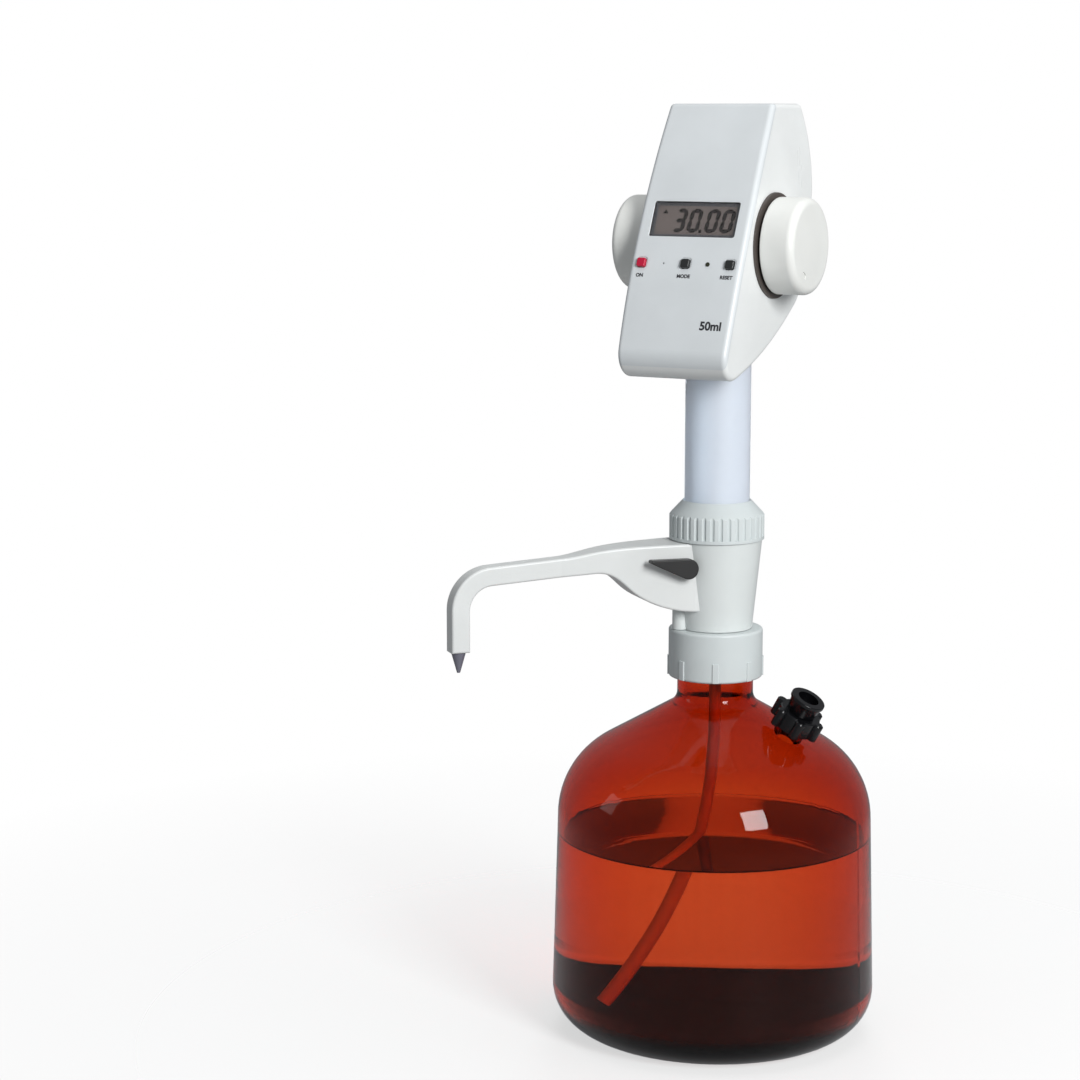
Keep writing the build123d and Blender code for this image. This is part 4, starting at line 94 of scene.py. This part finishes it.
def mixed(tree, factor, first, second):
    """Mixes two colours, each a tuple or a socket, by a factor socket."""
    node = tree.nodes.new("ShaderNodeMix")
    node.data_type = "RGBA"
    tree.links.new(factor, node.inputs["Factor"])
    for name, colour in (("A", first), ("B", second)):
        into = [s for s in node.inputs if s.name == name and s.type == "RGBA"][0]
        if isinstance(colour, tuple):
            into.default_value = colour + (1.0,)
        else:
            tree.links.new(colour, into)
    return [s for s in node.outputs if s.type == "RGBA"][0]


# Effects that materials share; scales are per metre, reaches in metres

GRAIN_SCALE = 2600.0
GRAIN_DEPTH = 0.00004
MOTTLE_SCALE = 38.0
MARKS_SCALE = 60.0
MARKS_STRETCH = (1.0, 1.0, 0.25)
EDGE_REACH = 0.0005
CORNER_REACH = 0.004
WAVE_SCALE = 22.0
WAVE_STRETCH = (1.0, 1.0, 2.2)
WAVE_DEPTH = 0.002
SMEAR_SCALE = 90.0


def make_surface_group():
    """Fine moulded grain, broad mottling and faint handling marks for plastics and metals."""
    group = bpy.data.node_groups.new("fine_surface", "ShaderNodeTree")
    socket(group, "Depth", "NodeSocketFloat", "INPUT", 0.1)
    socket(group, "Mottle", "NodeSocketFloat", "OUTPUT")
    socket(group, "Marks", "NodeSocketFloat", "OUTPUT")
    socket(group, "Normal", "NodeSocketVector", "OUTPUT")
    gin = group.nodes.new("NodeGroupInput")
    gout = group.nodes.new("NodeGroupOutput")
    place = group.nodes.new("ShaderNodeTexCoord").outputs["Object"]
    grain = noise(group, place, GRAIN_SCALE, 2.0)
    broad = noise(group, place, MOTTLE_SCALE, 3.0)
    marks = noise(group, place, MARKS_SCALE, 4.0, 0.65, MARKS_STRETCH)
    bump = group.nodes.new("ShaderNodeBump")
    bump.inputs["Distance"].default_value = GRAIN_DEPTH
    wire(group, gin, "Depth", bump, "Strength")
    group.links.new(grain, bump.inputs["Height"])
    group.links.new(spread(group, broad, 0.3, 0.7), gout.inputs["Mottle"])
    group.links.new(spread(group, marks, 0.45, 0.75), gout.inputs["Marks"])
    wire(group, bump, "Normal", gout, "Normal")
    return group


def make_edge_group():
    """Mask of the sharp outer edges of a piece, and of its inner corners, where shade is painted."""
    group = bpy.data.node_groups.new("edge_mask", "ShaderNodeTree")
    socket(group, "Edge", "NodeSocketFloat", "OUTPUT")
    socket(group, "Corner", "NodeSocketFloat", "OUTPUT")
    gout = group.nodes.new("NodeGroupOutput")
    bevel = group.nodes.new("ShaderNodeBevel")
    bevel.samples = 4
    bevel.inputs["Radius"].default_value = EDGE_REACH
    geometry = group.nodes.new("ShaderNodeNewGeometry")
    dot = group.nodes.new("ShaderNodeVectorMath")
    dot.operation = "DOT_PRODUCT"
    wire(group, bevel, "Normal", dot, 0)
    wire(group, geometry, "Normal", dot, 1)
    group.links.new(spread(group, dot.outputs["Value"], 0.98, 0.8), gout.inputs["Edge"])
    # Corner: ambient occlusion mask that places painted shade in inner corners
    shade = group.nodes.new("ShaderNodeAmbientOcclusion")
    shade.samples = 4
    shade.inputs["Distance"].default_value = CORNER_REACH
    group.links.new(spread(group, shade.outputs["AO"], 0.75, 0.25), gout.inputs["Corner"])
    return group


def make_glass_group():
    """Slow waves of drawn and moulded glass as a normal, and faint smears."""
    group = bpy.data.node_groups.new("glass_waves", "ShaderNodeTree")
    socket(group, "Depth", "NodeSocketFloat", "INPUT", 0.1)
    socket(group, "Normal", "NodeSocketVector", "OUTPUT")
    socket(group, "Marks", "NodeSocketFloat", "OUTPUT")
    gin = group.nodes.new("NodeGroupInput")
    gout = group.nodes.new("NodeGroupOutput")
    place = group.nodes.new("ShaderNodeTexCoord").outputs["Object"]
    waves = noise(group, place, WAVE_SCALE, 2.0, 0.4, WAVE_STRETCH)
    smears = noise(group, place, SMEAR_SCALE, 5.0, 0.7)
    bump = group.nodes.new("ShaderNodeBump")
    bump.inputs["Distance"].default_value = WAVE_DEPTH
    wire(group, gin, "Depth", bump, "Strength")
    group.links.new(waves, bump.inputs["Height"])
    wire(group, bump, "Normal", gout, "Normal")
    group.links.new(spread(group, smears, 0.55, 0.8), gout.inputs["Marks"])
    return group


surface_group = make_surface_group()
edge_group = make_edge_group()
glass_group = make_glass_group()


# Materials

# Painted shade in inner corners: how far the colour darkens there, and how much of the corner mask is used
PAINTED_CORNER_SHADE = 0.72
PAINTED_CORNER_SHADE_SHARE = 0.35
RUBBED_SMOOTHER = 0.07
SMEARED_ROUGHER = 0.03
COAT_ROUGHNESS = 0.15
GLOW_REACH = 0.004


def new_material(name):
    material = bpy.data.materials.new(name)
    material.use_nodes = True
    return material, material.node_tree, material.node_tree.nodes["Principled BSDF"]


def use_group(tree, group, **values):
    node = tree.nodes.new("ShaderNodeGroup")
    node.node_tree = group
    for name, value in values.items():
        node.inputs[name].default_value = value
    return node


def solid(
    name, colour, rough, depth=0.25, mottle=0.94, edge=1.05, metallic=0.0, coat=0.0, glow=0.0, specular=0.5
):
    """An opaque plastic, rubber or metal with grain, mottling, handling marks, worn edges and painted shade
    in its inner corners.
    """
    material, tree, shader = new_material(name)
    fine = use_group(tree, surface_group, Depth=depth)
    rim = use_group(tree, edge_group)
    darker = tuple(c * mottle for c in colour)
    lighter = tuple(min(1.0, c * edge) for c in colour)
    # darker copy of the colour, used for the painted shade in inner corners
    corner_shade_colour = tuple(c * PAINTED_CORNER_SHADE for c in colour)
    body = mixed(tree, fine.outputs["Mottle"], colour, darker)
    worn = mixed(tree, rim.outputs["Edge"], body, lighter)
    # painted shade: the occlusion corner mask, weakened, mixes the darker copy into the colour
    corner_shade_amount = maths(tree, "MULTIPLY", rim.outputs["Corner"], PAINTED_CORNER_SHADE_SHARE)
    rubbed = max(0.02, rough - RUBBED_SMOOTHER)
    tree.links.new(mixed(tree, corner_shade_amount, worn, corner_shade_colour), shader.inputs["Base Color"])
    tree.links.new(spread(tree, fine.outputs["Marks"], 0.0, 1.0, rough, rubbed), shader.inputs["Roughness"])
    wire(tree, fine, "Normal", shader, "Normal")
    shader.inputs["Metallic"].default_value = metallic
    shader.inputs["Specular IOR Level"].default_value = specular
    shader.inputs["Coat Weight"].default_value = coat
    shader.inputs["Coat Roughness"].default_value = COAT_ROUGHNESS
    if glow:
        shader.inputs["Subsurface Weight"].default_value = glow
        shader.inputs["Subsurface Scale"].default_value = GLOW_REACH
        shader.inputs["Subsurface Radius"].default_value = (1.0, 0.95, 0.9)
    return material


def clear(
    name, colour, rough, ior, depth, transmission=1.0, absorb=None, density=0.0, shadow=None, shine=1.0
):
    """A clear or milky solid; absorb colours it by depth, shadow its shadow and shine its reflections."""
    material, tree, shader = new_material(name)
    waves = use_group(tree, glass_group, Depth=depth)
    smeared = rough + SMEARED_ROUGHER
    shader.inputs["Base Color"].default_value = colour + (1.0,)
    shader.inputs["Transmission Weight"].default_value = transmission
    shader.inputs["IOR"].default_value = ior
    shader.inputs["Specular Tint"].default_value = (shine, shine, shine, 1.0)
    tree.links.new(spread(tree, waves.outputs["Marks"], 0.0, 1.0, rough, smeared), shader.inputs["Roughness"])
    wire(tree, waves, "Normal", shader, "Normal")
    output = tree.nodes["Material Output"]
    if absorb:
        volume = tree.nodes.new("ShaderNodeVolumeAbsorption")
        volume.inputs["Color"].default_value = absorb + (1.0,)
        volume.inputs["Density"].default_value = density
        wire(tree, volume, "Volume", output, "Volume")
    if shadow:
        path = tree.nodes.new("ShaderNodeLightPath")
        through = tree.nodes.new("ShaderNodeBsdfTransparent")
        through.inputs["Color"].default_value = shadow + (1.0,)
        either = tree.nodes.new("ShaderNodeMixShader")
        wire(tree, path, "Is Shadow Ray", either, "Fac")
        wire(tree, shader, "BSDF", either, 1)
        wire(tree, through, "BSDF", either, 2)
        wire(tree, either, "Shader", output, "Surface")
    return material


looks = {
    "amber_glass": clear(
        "amber_glass", (1.0, 1.0, 1.0), 0.0, 1.5, 0.06,
        absorb=(0.86, 0.36, 0.008), density=735.0, shadow=(0.75, 0.35, 0.12), shine=0.4,
    ),
    "clear_glass": clear("clear_glass", (0.96, 0.98, 0.98), 0.02, 1.47, 0.01, shadow=(0.92, 0.94, 0.94)),
    "sleeve_plastic": clear(
        "sleeve_plastic", (0.77, 0.80, 0.85), 0.42, 1.38, 0.03, transmission=0.55, shadow=(0.8, 0.84, 0.88)
    ),
    "lens_plastic": clear(
        "lens_plastic", (0.95, 0.96, 0.96), 0.03, 1.49, 0.0, shadow=(0.9, 0.9, 0.9), shine=0.3
    ),
    "clear_seat": clear("clear_seat", (0.95, 0.96, 0.96), 0.05, 1.5, 0.0),
    "ruby_ball": clear("ruby_ball", (0.75, 0.06, 0.10), 0.02, 1.76, 0.0),
    "soft_seal": solid("soft_seal", (0.72, 0.72, 0.70), 0.6),
    "collar_plastic": solid("collar_plastic", (0.64, 0.69, 0.69), 0.42, glow=0.12),
    "valve_plastic": solid("valve_plastic", (0.73, 0.77, 0.76), 0.36, glow=0.12),
    "arm_plastic": solid("arm_plastic", (0.74, 0.76, 0.75), 0.38, glow=0.12),
    "tube_plastic": solid("tube_plastic", (0.40, 0.38, 0.36), 0.3, glow=0.1),
    "jet_plastic": solid("jet_plastic", (0.16, 0.16, 0.20), 0.25, coat=0.3),
    "lever_plastic": solid("lever_plastic", (0.028, 0.028, 0.028), 0.42, edge=1.6, specular=0.35),
    "chassis_plastic": solid("chassis_plastic", (0.55, 0.56, 0.56), 0.5),
    # panel_plastic is the same white plastic as housing_plastic, given a darker, bluer colour: painted shade
    # of the front face
    "panel_plastic": solid("panel_plastic", (0.71, 0.745, 0.76), 0.34, glow=0.1),
    "housing_plastic": solid("housing_plastic", (0.84, 0.86, 0.85), 0.34, glow=0.1),
    "display_dark": solid("display_dark", (0.1, 0.083, 0.078), 0.5, depth=0.05, specular=0.1),
    "board_green": solid("board_green", (0.02, 0.12, 0.05), 0.35, coat=0.4),
    "dark_plastic": solid("dark_plastic", (0.02, 0.02, 0.022), 0.45),
    "led_plastic": solid("led_plastic", (0.035, 0.038, 0.022), 0.25),
    "cell_metal": solid("cell_metal", (0.42, 0.43, 0.45), 0.35, metallic=0.8),
    "bush_plastic": solid("bush_plastic", (0.10, 0.095, 0.09), 0.5),
    "ring_plastic": solid("ring_plastic", (0.075, 0.062, 0.055), 0.45),
    "gear_plastic": solid("gear_plastic", (0.74, 0.71, 0.58), 0.4, glow=0.1),
    "knob_plastic": solid("knob_plastic", (0.83, 0.84, 0.81), 0.36, glow=0.1),
    "steel": solid("steel", (0.55, 0.56, 0.57), 0.28, metallic=1.0, depth=0.1),
    "red_button": solid("red_button", (0.52, 0.008, 0.045), 0.35, coat=0.2),
    "black_button": solid("black_button", (0.02, 0.022, 0.022), 0.35, coat=0.2, edge=1.6),
    "black_plastic": solid(
        "black_plastic", (0.004, 0.004, 0.005), 0.2, coat=0.15, edge=1.8, mottle=0.8, specular=0.35
    ),
}
ink = solid("printed_ink", (0.03, 0.03, 0.035), 0.5, depth=0.05)
segment_ink = solid("display_segments", (0.012, 0.01, 0.01), 0.5, depth=0.05, specular=0.1)
titrant_look = clear(
    "titrant", (1.0, 1.0, 1.0), 0.0, 1.34, 0.0,
    absorb=(0.98, 0.9, 0.8), density=1.5, shadow=(0.95, 0.9, 0.85), shine=0.1,
)
# Painted shade: a nearly black, matt look for the liquid's underside, standing in for the thick dark foot of
# the bottle and the shadow beneath it
painted_foot_shade_look = solid("painted_foot_shade", (0.006, 0.002, 0.003), 0.9, depth=0.0, specular=0.0)

slot_of = {part["node"]: part["material_slot"] for part in frame["record"]["subparts"]}
for name, thing in nodes.items():
    thing.data.materials.clear()
    thing.data.materials.append(looks[slot_of[name]])


# Painted shade on the amber glass by height: nearly black foot, clear side, darker shoulder

FOOT_PAINTED_SHADE = (0.004, 0.002, 0.003)
FOOT_FADE = (11.0, 18.0)
SHOULDER_PAINTED_SHADE = (0.82, 0.62, 0.4)
SHOULDER_FADE = (98.0, 116.0)


def paint_glass_shade(material):
    """Paints the foot of the bottle nearly black, partly for its thick glass and partly as painted shade
    beneath it, and paints shade on its shoulder above the liquid.
    """
    tree = material.node_tree
    place = tree.nodes.new("ShaderNodeTexCoord")
    parts = tree.nodes.new("ShaderNodeSeparateXYZ")
    wire(tree, place, "Object", parts, 0)
    height = parts.outputs["Z"]
    above = spread(tree, height, SHOULDER_FADE[0] * MM, SHOULDER_FADE[1] * MM)
    lifted = spread(tree, height, FOOT_FADE[0] * MM, FOOT_FADE[1] * MM)
    upper = mixed(tree, above, (1.0, 1.0, 1.0), SHOULDER_PAINTED_SHADE)
    tree.links.new(mixed(tree, lifted, FOOT_PAINTED_SHADE, upper), tree.nodes["Principled BSDF"].inputs["Base Color"])


paint_glass_shade(looks["amber_glass"])


# Pieces that scene.py adds


def put_in_scene(name, data):
    made = bpy.data.objects.new(name, data)
    bpy.context.scene.collection.objects.link(made)
    return made


def make_piece(name, points, faces, material, body, smooth=False):
    """A mesh piece from points in metres, which moves with a body."""
    mesh = bpy.data.meshes.new(name)
    mesh.from_pydata([tuple(p) for p in points], [], faces)
    mesh.update()
    mesh.materials.append(material)
    for face in mesh.polygons:
        face.use_smooth = smooth
    made = put_in_scene(name, mesh)
    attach(made, body)
    return made


def plates(outlines, thick, place):
    """Points and faces of thin plates, one for each outline, on a placed plane; millimetres."""
    points, faces = [], []
    for outline in outlines:
        first, count = len(points), len(outline)
        for height in (0.0, thick):
            points += [place @ Vector((x * MM, y * MM, height * MM)) for x, y in outline]
        faces.append(tuple(first + k for k in reversed(range(count))))
        faces.append(tuple(first + count + k for k in range(count)))
        for k in range(count):
            after = (k + 1) % count
            faces.append((first + k, first + after, first + count + after, first + count + k))
    return points, faces


# The slightly arched front of the head: places along it

FRONT_TOP = Vector((0.0, 0.2, 462.0)) * MM
FRONT_FOOT = Vector((0.0, -58.2, 328.5)) * MM
ARCH = 4.8 * MM
ACROSS = Vector((1.0, 0.0, 0.0))
front_up = (FRONT_TOP - FRONT_FOOT).normalized()
front_out = ACROSS.cross(front_up)
arch_radius = (((FRONT_TOP - FRONT_FOOT).length / 2) ** 2 + ARCH**2) / (2 * ARCH)
front_middle = (FRONT_TOP + FRONT_FOOT) / 2 + front_out * ARCH
arch_centre = front_middle - front_out * arch_radius


def columns(x, y, z, centre):
    """Matrix with these three directions, placed at a centre."""
    matrix = Matrix((x, y, z)).transposed().to_4x4()
    matrix.translation = centre
    return matrix


def on_arch(across, up, lift):
    """Matrix of a place on the front: X across, Y up the slope, Z outwards; lengths in millimetres."""
    angle = up * MM / arch_radius
    outwards = front_out * math.cos(angle) + front_up * math.sin(angle)
    upwards = front_up * math.cos(angle) - front_out * math.sin(angle)
    centre = arch_centre + outwards * (arch_radius + lift * MM) + ACROSS * (across * MM)
    return columns(ACROSS, upwards, outwards, centre)


def on_flat(across, up, lift):
    """The same on the flat plane that touches the middle of the front."""
    centre = front_middle + front_up * (up * MM) + front_out * (lift * MM) + ACROSS * (across * MM)
    return columns(ACROSS, front_up, front_out, centre)


# Display: dark printed border, digits, point and small pointer; millimetres

LCD_UP = 11.4
LCD_HALF_WIDTH = 22.7
LCD_HALF_HEIGHT = 9.1
GLASS_BACK = -2.19
BORDER_WIDTH = 1.9
BORDER_INSET = 0.05
BORDER_THICK = 0.03
DIGIT_HEIGHT = 12.2
DIGIT_WIDTH = 6.6
DIGIT_FOOT = -6.3
DIGIT_SHIFT = 0.4
DIGIT_THICK = 0.02
SEGMENT_WIDTH = 2.1
SEGMENT_GAP = 0.12
SLANT = 0.11
READING = (("3", -12.6), ("0", -4.7), ("0", 4.6), ("0", 12.5))
POINT_LEFT = 2.1
POINT_SIZE = 1.6
POINTER = [(-18.6, 3.2), (-15.4, 3.2), (-17.0, 5.4)]
LIT_SEGMENTS = {"0": "abcdef", "3": "abcdg"}


def make_border():
    """Black print round the display's window, on the back of the clear lens."""
    w, h, b = LCD_HALF_WIDTH - BORDER_INSET, LCD_HALF_HEIGHT - BORDER_INSET, BORDER_WIDTH
    strips = [
        [(-w, h - b), (w, h - b), (w, h), (-w, h)],
        [(-w, -h), (w, -h), (w, -h + b), (-w, -h + b)],
        [(-w, -h + b), (-w + b, -h + b), (-w + b, h - b), (-w, h - b)],
        [(w - b, -h + b), (w, -h + b), (w, h - b), (w - b, h - b)],
    ]
    points, faces = plates(strips, BORDER_THICK, on_flat(0, LCD_UP, GLASS_BACK))
    make_piece("display_border", points, faces, ink, "head")


def digit_outlines(digit, left):
    """Segments of one display digit as mitred bars, from its left edge."""
    tall, wide, thick, gap = DIGIT_HEIGHT, DIGIT_WIDTH, SEGMENT_WIDTH, SEGMENT_GAP
    half = thick / 2
    middle = tall / 2

    def across(y):
        return [
            (gap + half, y), (thick + gap, y + half), (wide - thick - gap, y + half),
            (wide - half - gap, y), (wide - thick - gap, y - half), (thick + gap, y - half),
        ]

    def upright(x, low_y, high_y):
        return [
            (x, low_y + gap + half * 0.4), (x + half, low_y + thick), (x + half, high_y - thick),
            (x, high_y - gap - half * 0.4), (x - half, high_y - thick), (x - half, low_y + thick),
        ]

    bars = {
        "a": across(tall - half), "g": across(middle), "d": across(half),
        "f": upright(half, middle - half, tall), "b": upright(wide - half, middle - half, tall),
        "e": upright(half, 0, middle + half), "c": upright(wide - half, 0, middle + half),
    }
    return [[(left + x + SLANT * y, DIGIT_FOOT + y) for x, y in bars[key]] for key in LIT_SEGMENTS[digit]]


def make_digits():
    """The reading with its point, and the small pointer at the left."""
    shapes = []
    for digit, left in READING:
        shapes += digit_outlines(digit, left)
    right, roof = POINT_LEFT + POINT_SIZE, DIGIT_FOOT + POINT_SIZE
    shapes.append([(POINT_LEFT, DIGIT_FOOT), (right, DIGIT_FOOT), (right, roof), (POINT_LEFT, roof)])
    shapes.append(POINTER)
    points, faces = plates(shapes, DIGIT_THICK, on_flat(DIGIT_SHIFT, LCD_UP, GLASS_BACK))
    make_piece("display_digits", points, faces, segment_ink, "head")


make_border()
make_digits()


# Printed words under the keys, and the capacity; millimetres

CAPITAL_SHARE = 0.7
PRINT_THICK = 0.02
PRINT_LIFT = 0.01
KEY_WORDS_UP = -17.6
KEY_WORDS_HEIGHT = 1.7
KEY_WORDS_BOLD = 0.11
KEY_WORDS = (("word_on", "ON", -23.3), ("word_mode", "MODE", 0.0), ("word_reset", "RESET", 22.4))
CAPACITY_PLACE = (18.5, -41.7)
CAPACITY_HEIGHT = 4.0
CAPACITY_BOLD = 0.2


def make_words(name, words, height, place, bold):
    """Printed words on the head as a thin mesh, centred on the placed origin."""
    curve = bpy.data.curves.new(name, "FONT")
    curve.body = words
    curve.size = height * MM / CAPITAL_SHARE
    curve.align_x = "CENTER"
    curve.align_y = "CENTER"
    curve.extrude = PRINT_THICK * MM
    curve.offset = bold * MM
    holder = put_in_scene(name + "_curve", curve)
    bpy.context.view_layer.update()
    seen = holder.evaluated_get(bpy.context.evaluated_depsgraph_get())
    mesh = bpy.data.meshes.new_from_object(seen)
    bpy.data.objects.remove(holder)
    bpy.data.curves.remove(curve)
    mesh.name = name
    mesh.transform(place)
    mesh.materials.clear()
    mesh.materials.append(ink)
    made = put_in_scene(name, mesh)
    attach(made, "head")


for name, words, across in KEY_WORDS:
    make_words(name, words, KEY_WORDS_HEIGHT, on_arch(across, KEY_WORDS_UP, PRINT_LIFT), KEY_WORDS_BOLD)
make_words("word_capacity", "50ml", CAPACITY_HEIGHT, on_arch(*CAPACITY_PLACE, PRINT_LIFT), CAPACITY_BOLD)


# Liquid in the reservoir; millimetres

LIQUID_TOP = 100.0
LIQUID_STEPS = 128
FLOOR_MIDDLE = 7.0
FLOOR_EDGE = 3.0
FLOOR_STEPS = 8
HEEL_RADIUS = 19.0
HEEL_STEPS = 10
INNER_RADIUS = 78.0
TAPER_FOOT = 22.0
TAPER_TOP = 109.0
TAPER_TOP_RADIUS = 75.5
OVERLAP = 0.08
WALL_RINGS = (24.0, 60.0, LIQUID_TOP - 2.0, LIQUID_TOP + 0.8, LIQUID_TOP + 1.2)
MENISCUS = ((0.1, 1.15), (0.4, 0.6), (0.9, 0.25), (1.6, 0.06), (2.4, 0.0), (4.0, 0.0))
# height below which the liquid's underside gets the painted foot shade
FOOT_TOP = 15.0


def inner_profile():
    """Radius and height of the bottle's inside, from its floor to the liquid's surface."""
    points = [(0.0, FLOOR_MIDDLE + OVERLAP)]
    foot = INNER_RADIUS - HEEL_RADIUS
    for step in range(1, FLOOR_STEPS + 1):
        share = step / FLOOR_STEPS
        points.append((foot * share, FLOOR_MIDDLE + (FLOOR_EDGE - FLOOR_MIDDLE) * share + OVERLAP))
    bend = HEEL_RADIUS - OVERLAP
    for step in range(1, HEEL_STEPS + 1):
        angle = math.pi / 2 * step / HEEL_STEPS
        points.append((foot + bend * math.sin(angle), FLOOR_EDGE + HEEL_RADIUS - bend * math.cos(angle)))
    for height in WALL_RINGS:
        share = (height - TAPER_FOOT) / (TAPER_TOP - TAPER_FOOT)
        wall = INNER_RADIUS + (TAPER_TOP_RADIUS - INNER_RADIUS) * share
        points.append((wall + OVERLAP, height))
    points += [(wall - inwards, LIQUID_TOP + rise) for inwards, rise in MENISCUS]
    points.append((0.0, LIQUID_TOP))
    return points


def make_turned(name, profile, material, body, steps):
    """A round piece from radius and height points in millimetres, first and last on the axis."""
    points = [Vector((0, 0, profile[0][1])) * MM]
    rings = profile[1:-1]
    for radius, height in rings:
        for step in range(steps):
            angle = 2 * math.pi * step / steps
            points.append(Vector((radius * math.cos(angle), radius * math.sin(angle), height)) * MM)
    points.append(Vector((0, 0, profile[-1][1])) * MM)
    faces = []
    for step in range(steps):
        after = (step + 1) % steps
        faces.append((0, 1 + after, 1 + step))
        for ring in range(len(rings) - 1):
            low_row, high_row = 1 + ring * steps, 1 + (ring + 1) * steps
            faces.append((low_row + step, low_row + after, high_row + after, high_row + step))
        last = 1 + (len(rings) - 1) * steps
        faces.append((last + step, last + after, len(points) - 1))
    return make_piece(name, points, faces, material, body, smooth=True)


def painted_foot_shade(liquid):
    """Paints the liquid's underside nearly black: painted shade standing in for the thick dark foot of the
    bottle that it lies on, and the shadow under it.
    """
    liquid.data.materials.append(painted_foot_shade_look)
    for face in liquid.data.polygons:
        if face.center.z < FOOT_TOP * MM and face.normal.z < 0.0:
            face.material_index = 1


painted_foot_shade(make_turned("titrant", inner_profile(), titrant_look, "bottle", LIQUID_STEPS))


# Stage, lights and camera; metres and degrees

FLOOR_REACH = 0.7
FLOOR_DROP = 0.0002
FLOOR_FADE = (0.14, 0.6)
FLOOR_FADE_START = 0.62
WORLD_COLOUR = (0.93, 0.96, 1.0, 1.0)
WORLD_STRENGTH = 0.24
CAMERA_DISTANCE = 1.3
CAMERA_HEIGHT = 0.4578
CAMERA_AROUND = 25.3
CAMERA_ASIDE = 3.86
CAMERA_PITCH = -9.16
CAMERA_LENS = 88.4


def make_floor():
    """A pale floor that runs out into the white backdrop away from the object."""
    material, tree, shader = new_material("pale_floor")
    shader.inputs["Base Color"].default_value = (0.97, 0.97, 0.97, 1.0)
    shader.inputs["Roughness"].default_value = 0.6
    place = tree.nodes.new("ShaderNodeTexCoord")
    reach = tree.nodes.new("ShaderNodeVectorMath")
    reach.operation = "LENGTH"
    wire(tree, place, "Object", reach, 0)
    clear_air = tree.nodes.new("ShaderNodeBsdfTransparent")
    either = tree.nodes.new("ShaderNodeMixShader")
    faded = spread(tree, reach.outputs["Value"], *FLOOR_FADE, FLOOR_FADE_START)
    tree.links.new(faded, either.inputs["Fac"])
    wire(tree, shader, "BSDF", either, 1)
    wire(tree, clear_air, "BSDF", either, 2)
    wire(tree, either, "Shader", tree.nodes["Material Output"], "Surface")
    far = FLOOR_REACH
    mesh = bpy.data.meshes.new("floor")
    mesh.from_pydata([(-far, -far, 0), (far, -far, 0), (far, far, 0), (-far, far, 0)], [], [(0, 1, 2, 3)])
    mesh.materials.append(material)
    made = put_in_scene("floor", mesh)
    made.location.z = -FLOOR_DROP
    return made


def turn_towards(made, direction):
    """Turns a light or camera so that it looks along a direction."""
    made.rotation_mode = "QUATERNION"
    made.rotation_quaternion = direction.to_track_quat("-Z", "Y")


def make_light(name, place, target, size, watts):
    light = bpy.data.lights.new(name, "AREA")
    light.shape = "RECTANGLE"
    light.size, light.size_y = size
    light.energy = watts
    made = put_in_scene(name, light)
    made.location = place
    turn_towards(made, Vector(target) - Vector(place))
    return made


def make_world():
    """Soft cool light all round; what the camera and the clear parts see of it is white."""
    world = bpy.data.worlds.new("studio")
    bpy.context.scene.world = world
    world.use_nodes = True
    tree = world.node_tree
    tree.nodes.clear()
    path = tree.nodes.new("ShaderNodeLightPath")
    seen = maths(tree, "ADD", path.outputs["Is Camera Ray"], path.outputs["Is Transmission Ray"], True)
    sides = tree.nodes.new("ShaderNodeBackground")
    sides.inputs["Color"].default_value = WORLD_COLOUR
    sides.inputs["Strength"].default_value = WORLD_STRENGTH
    white = tree.nodes.new("ShaderNodeBackground")
    white.inputs["Color"].default_value = (1.0, 1.0, 1.0, 1.0)
    white.inputs["Strength"].default_value = 1.0
    either = tree.nodes.new("ShaderNodeMixShader")
    output = tree.nodes.new("ShaderNodeOutputWorld")
    tree.links.new(seen, either.inputs["Fac"])
    wire(tree, sides, "Background", either, 1)
    wire(tree, white, "Background", either, 2)
    wire(tree, either, "Shader", output, "Surface")


def make_camera():
    """The photo's viewpoint, to the right of the head's front and a little above."""
    around = math.radians(CAMERA_AROUND)
    yaw = around + math.radians(CAMERA_ASIDE)
    pitch = math.radians(CAMERA_PITCH)
    ahead = Vector((-math.sin(yaw) * math.cos(pitch), math.cos(yaw) * math.cos(pitch), math.sin(pitch)))
    data = bpy.data.cameras.new("photo_camera")
    data.lens = CAMERA_LENS
    data.sensor_width = 36.0
    made = put_in_scene("photo_camera", data)
    made.location = (math.sin(around) * CAMERA_DISTANCE, -math.cos(around) * CAMERA_DISTANCE, CAMERA_HEIGHT)
    turn_towards(made, ahead)
    bpy.context.scene.camera = made


floor = make_floor()
key = make_light("key_softbox", (1.3, -0.85, 0.9), (0.0, 0.0, 0.25), (0.5, 0.7), 26.0)
fill = make_light("fill_softbox", (-1.3, -0.7, 0.7), (0.0, 0.0, 0.25), (0.35, 0.5), 0.8)
top = make_light("top_softbox", (0.1, 0.1, 1.6), (0.0, 0.0, 0.2), (1.2, 1.2), 7.0)
back = make_light("back_softbox", (-0.7, 1.5, 0.9), (0.0, 0.0, 0.3), (0.6, 0.8), 9.0)
for light in (key, top, back):
    light.visible_transmission = False
    light.visible_glossy = light is key
make_world()
make_camera()

scene = bpy.context.scene
scene.render.resolution_x = 1024
scene.render.resolution_y = 1024
scene.view_settings.view_transform = "Standard"
scene.render.engine = "CYCLES"
scene.cycles.samples = 192
scene.cycles.max_bounces = 24
scene.cycles.transmission_bounces = 20
scene.cycles.transparent_max_bounces = 16
scene.cycles.use_denoising = True
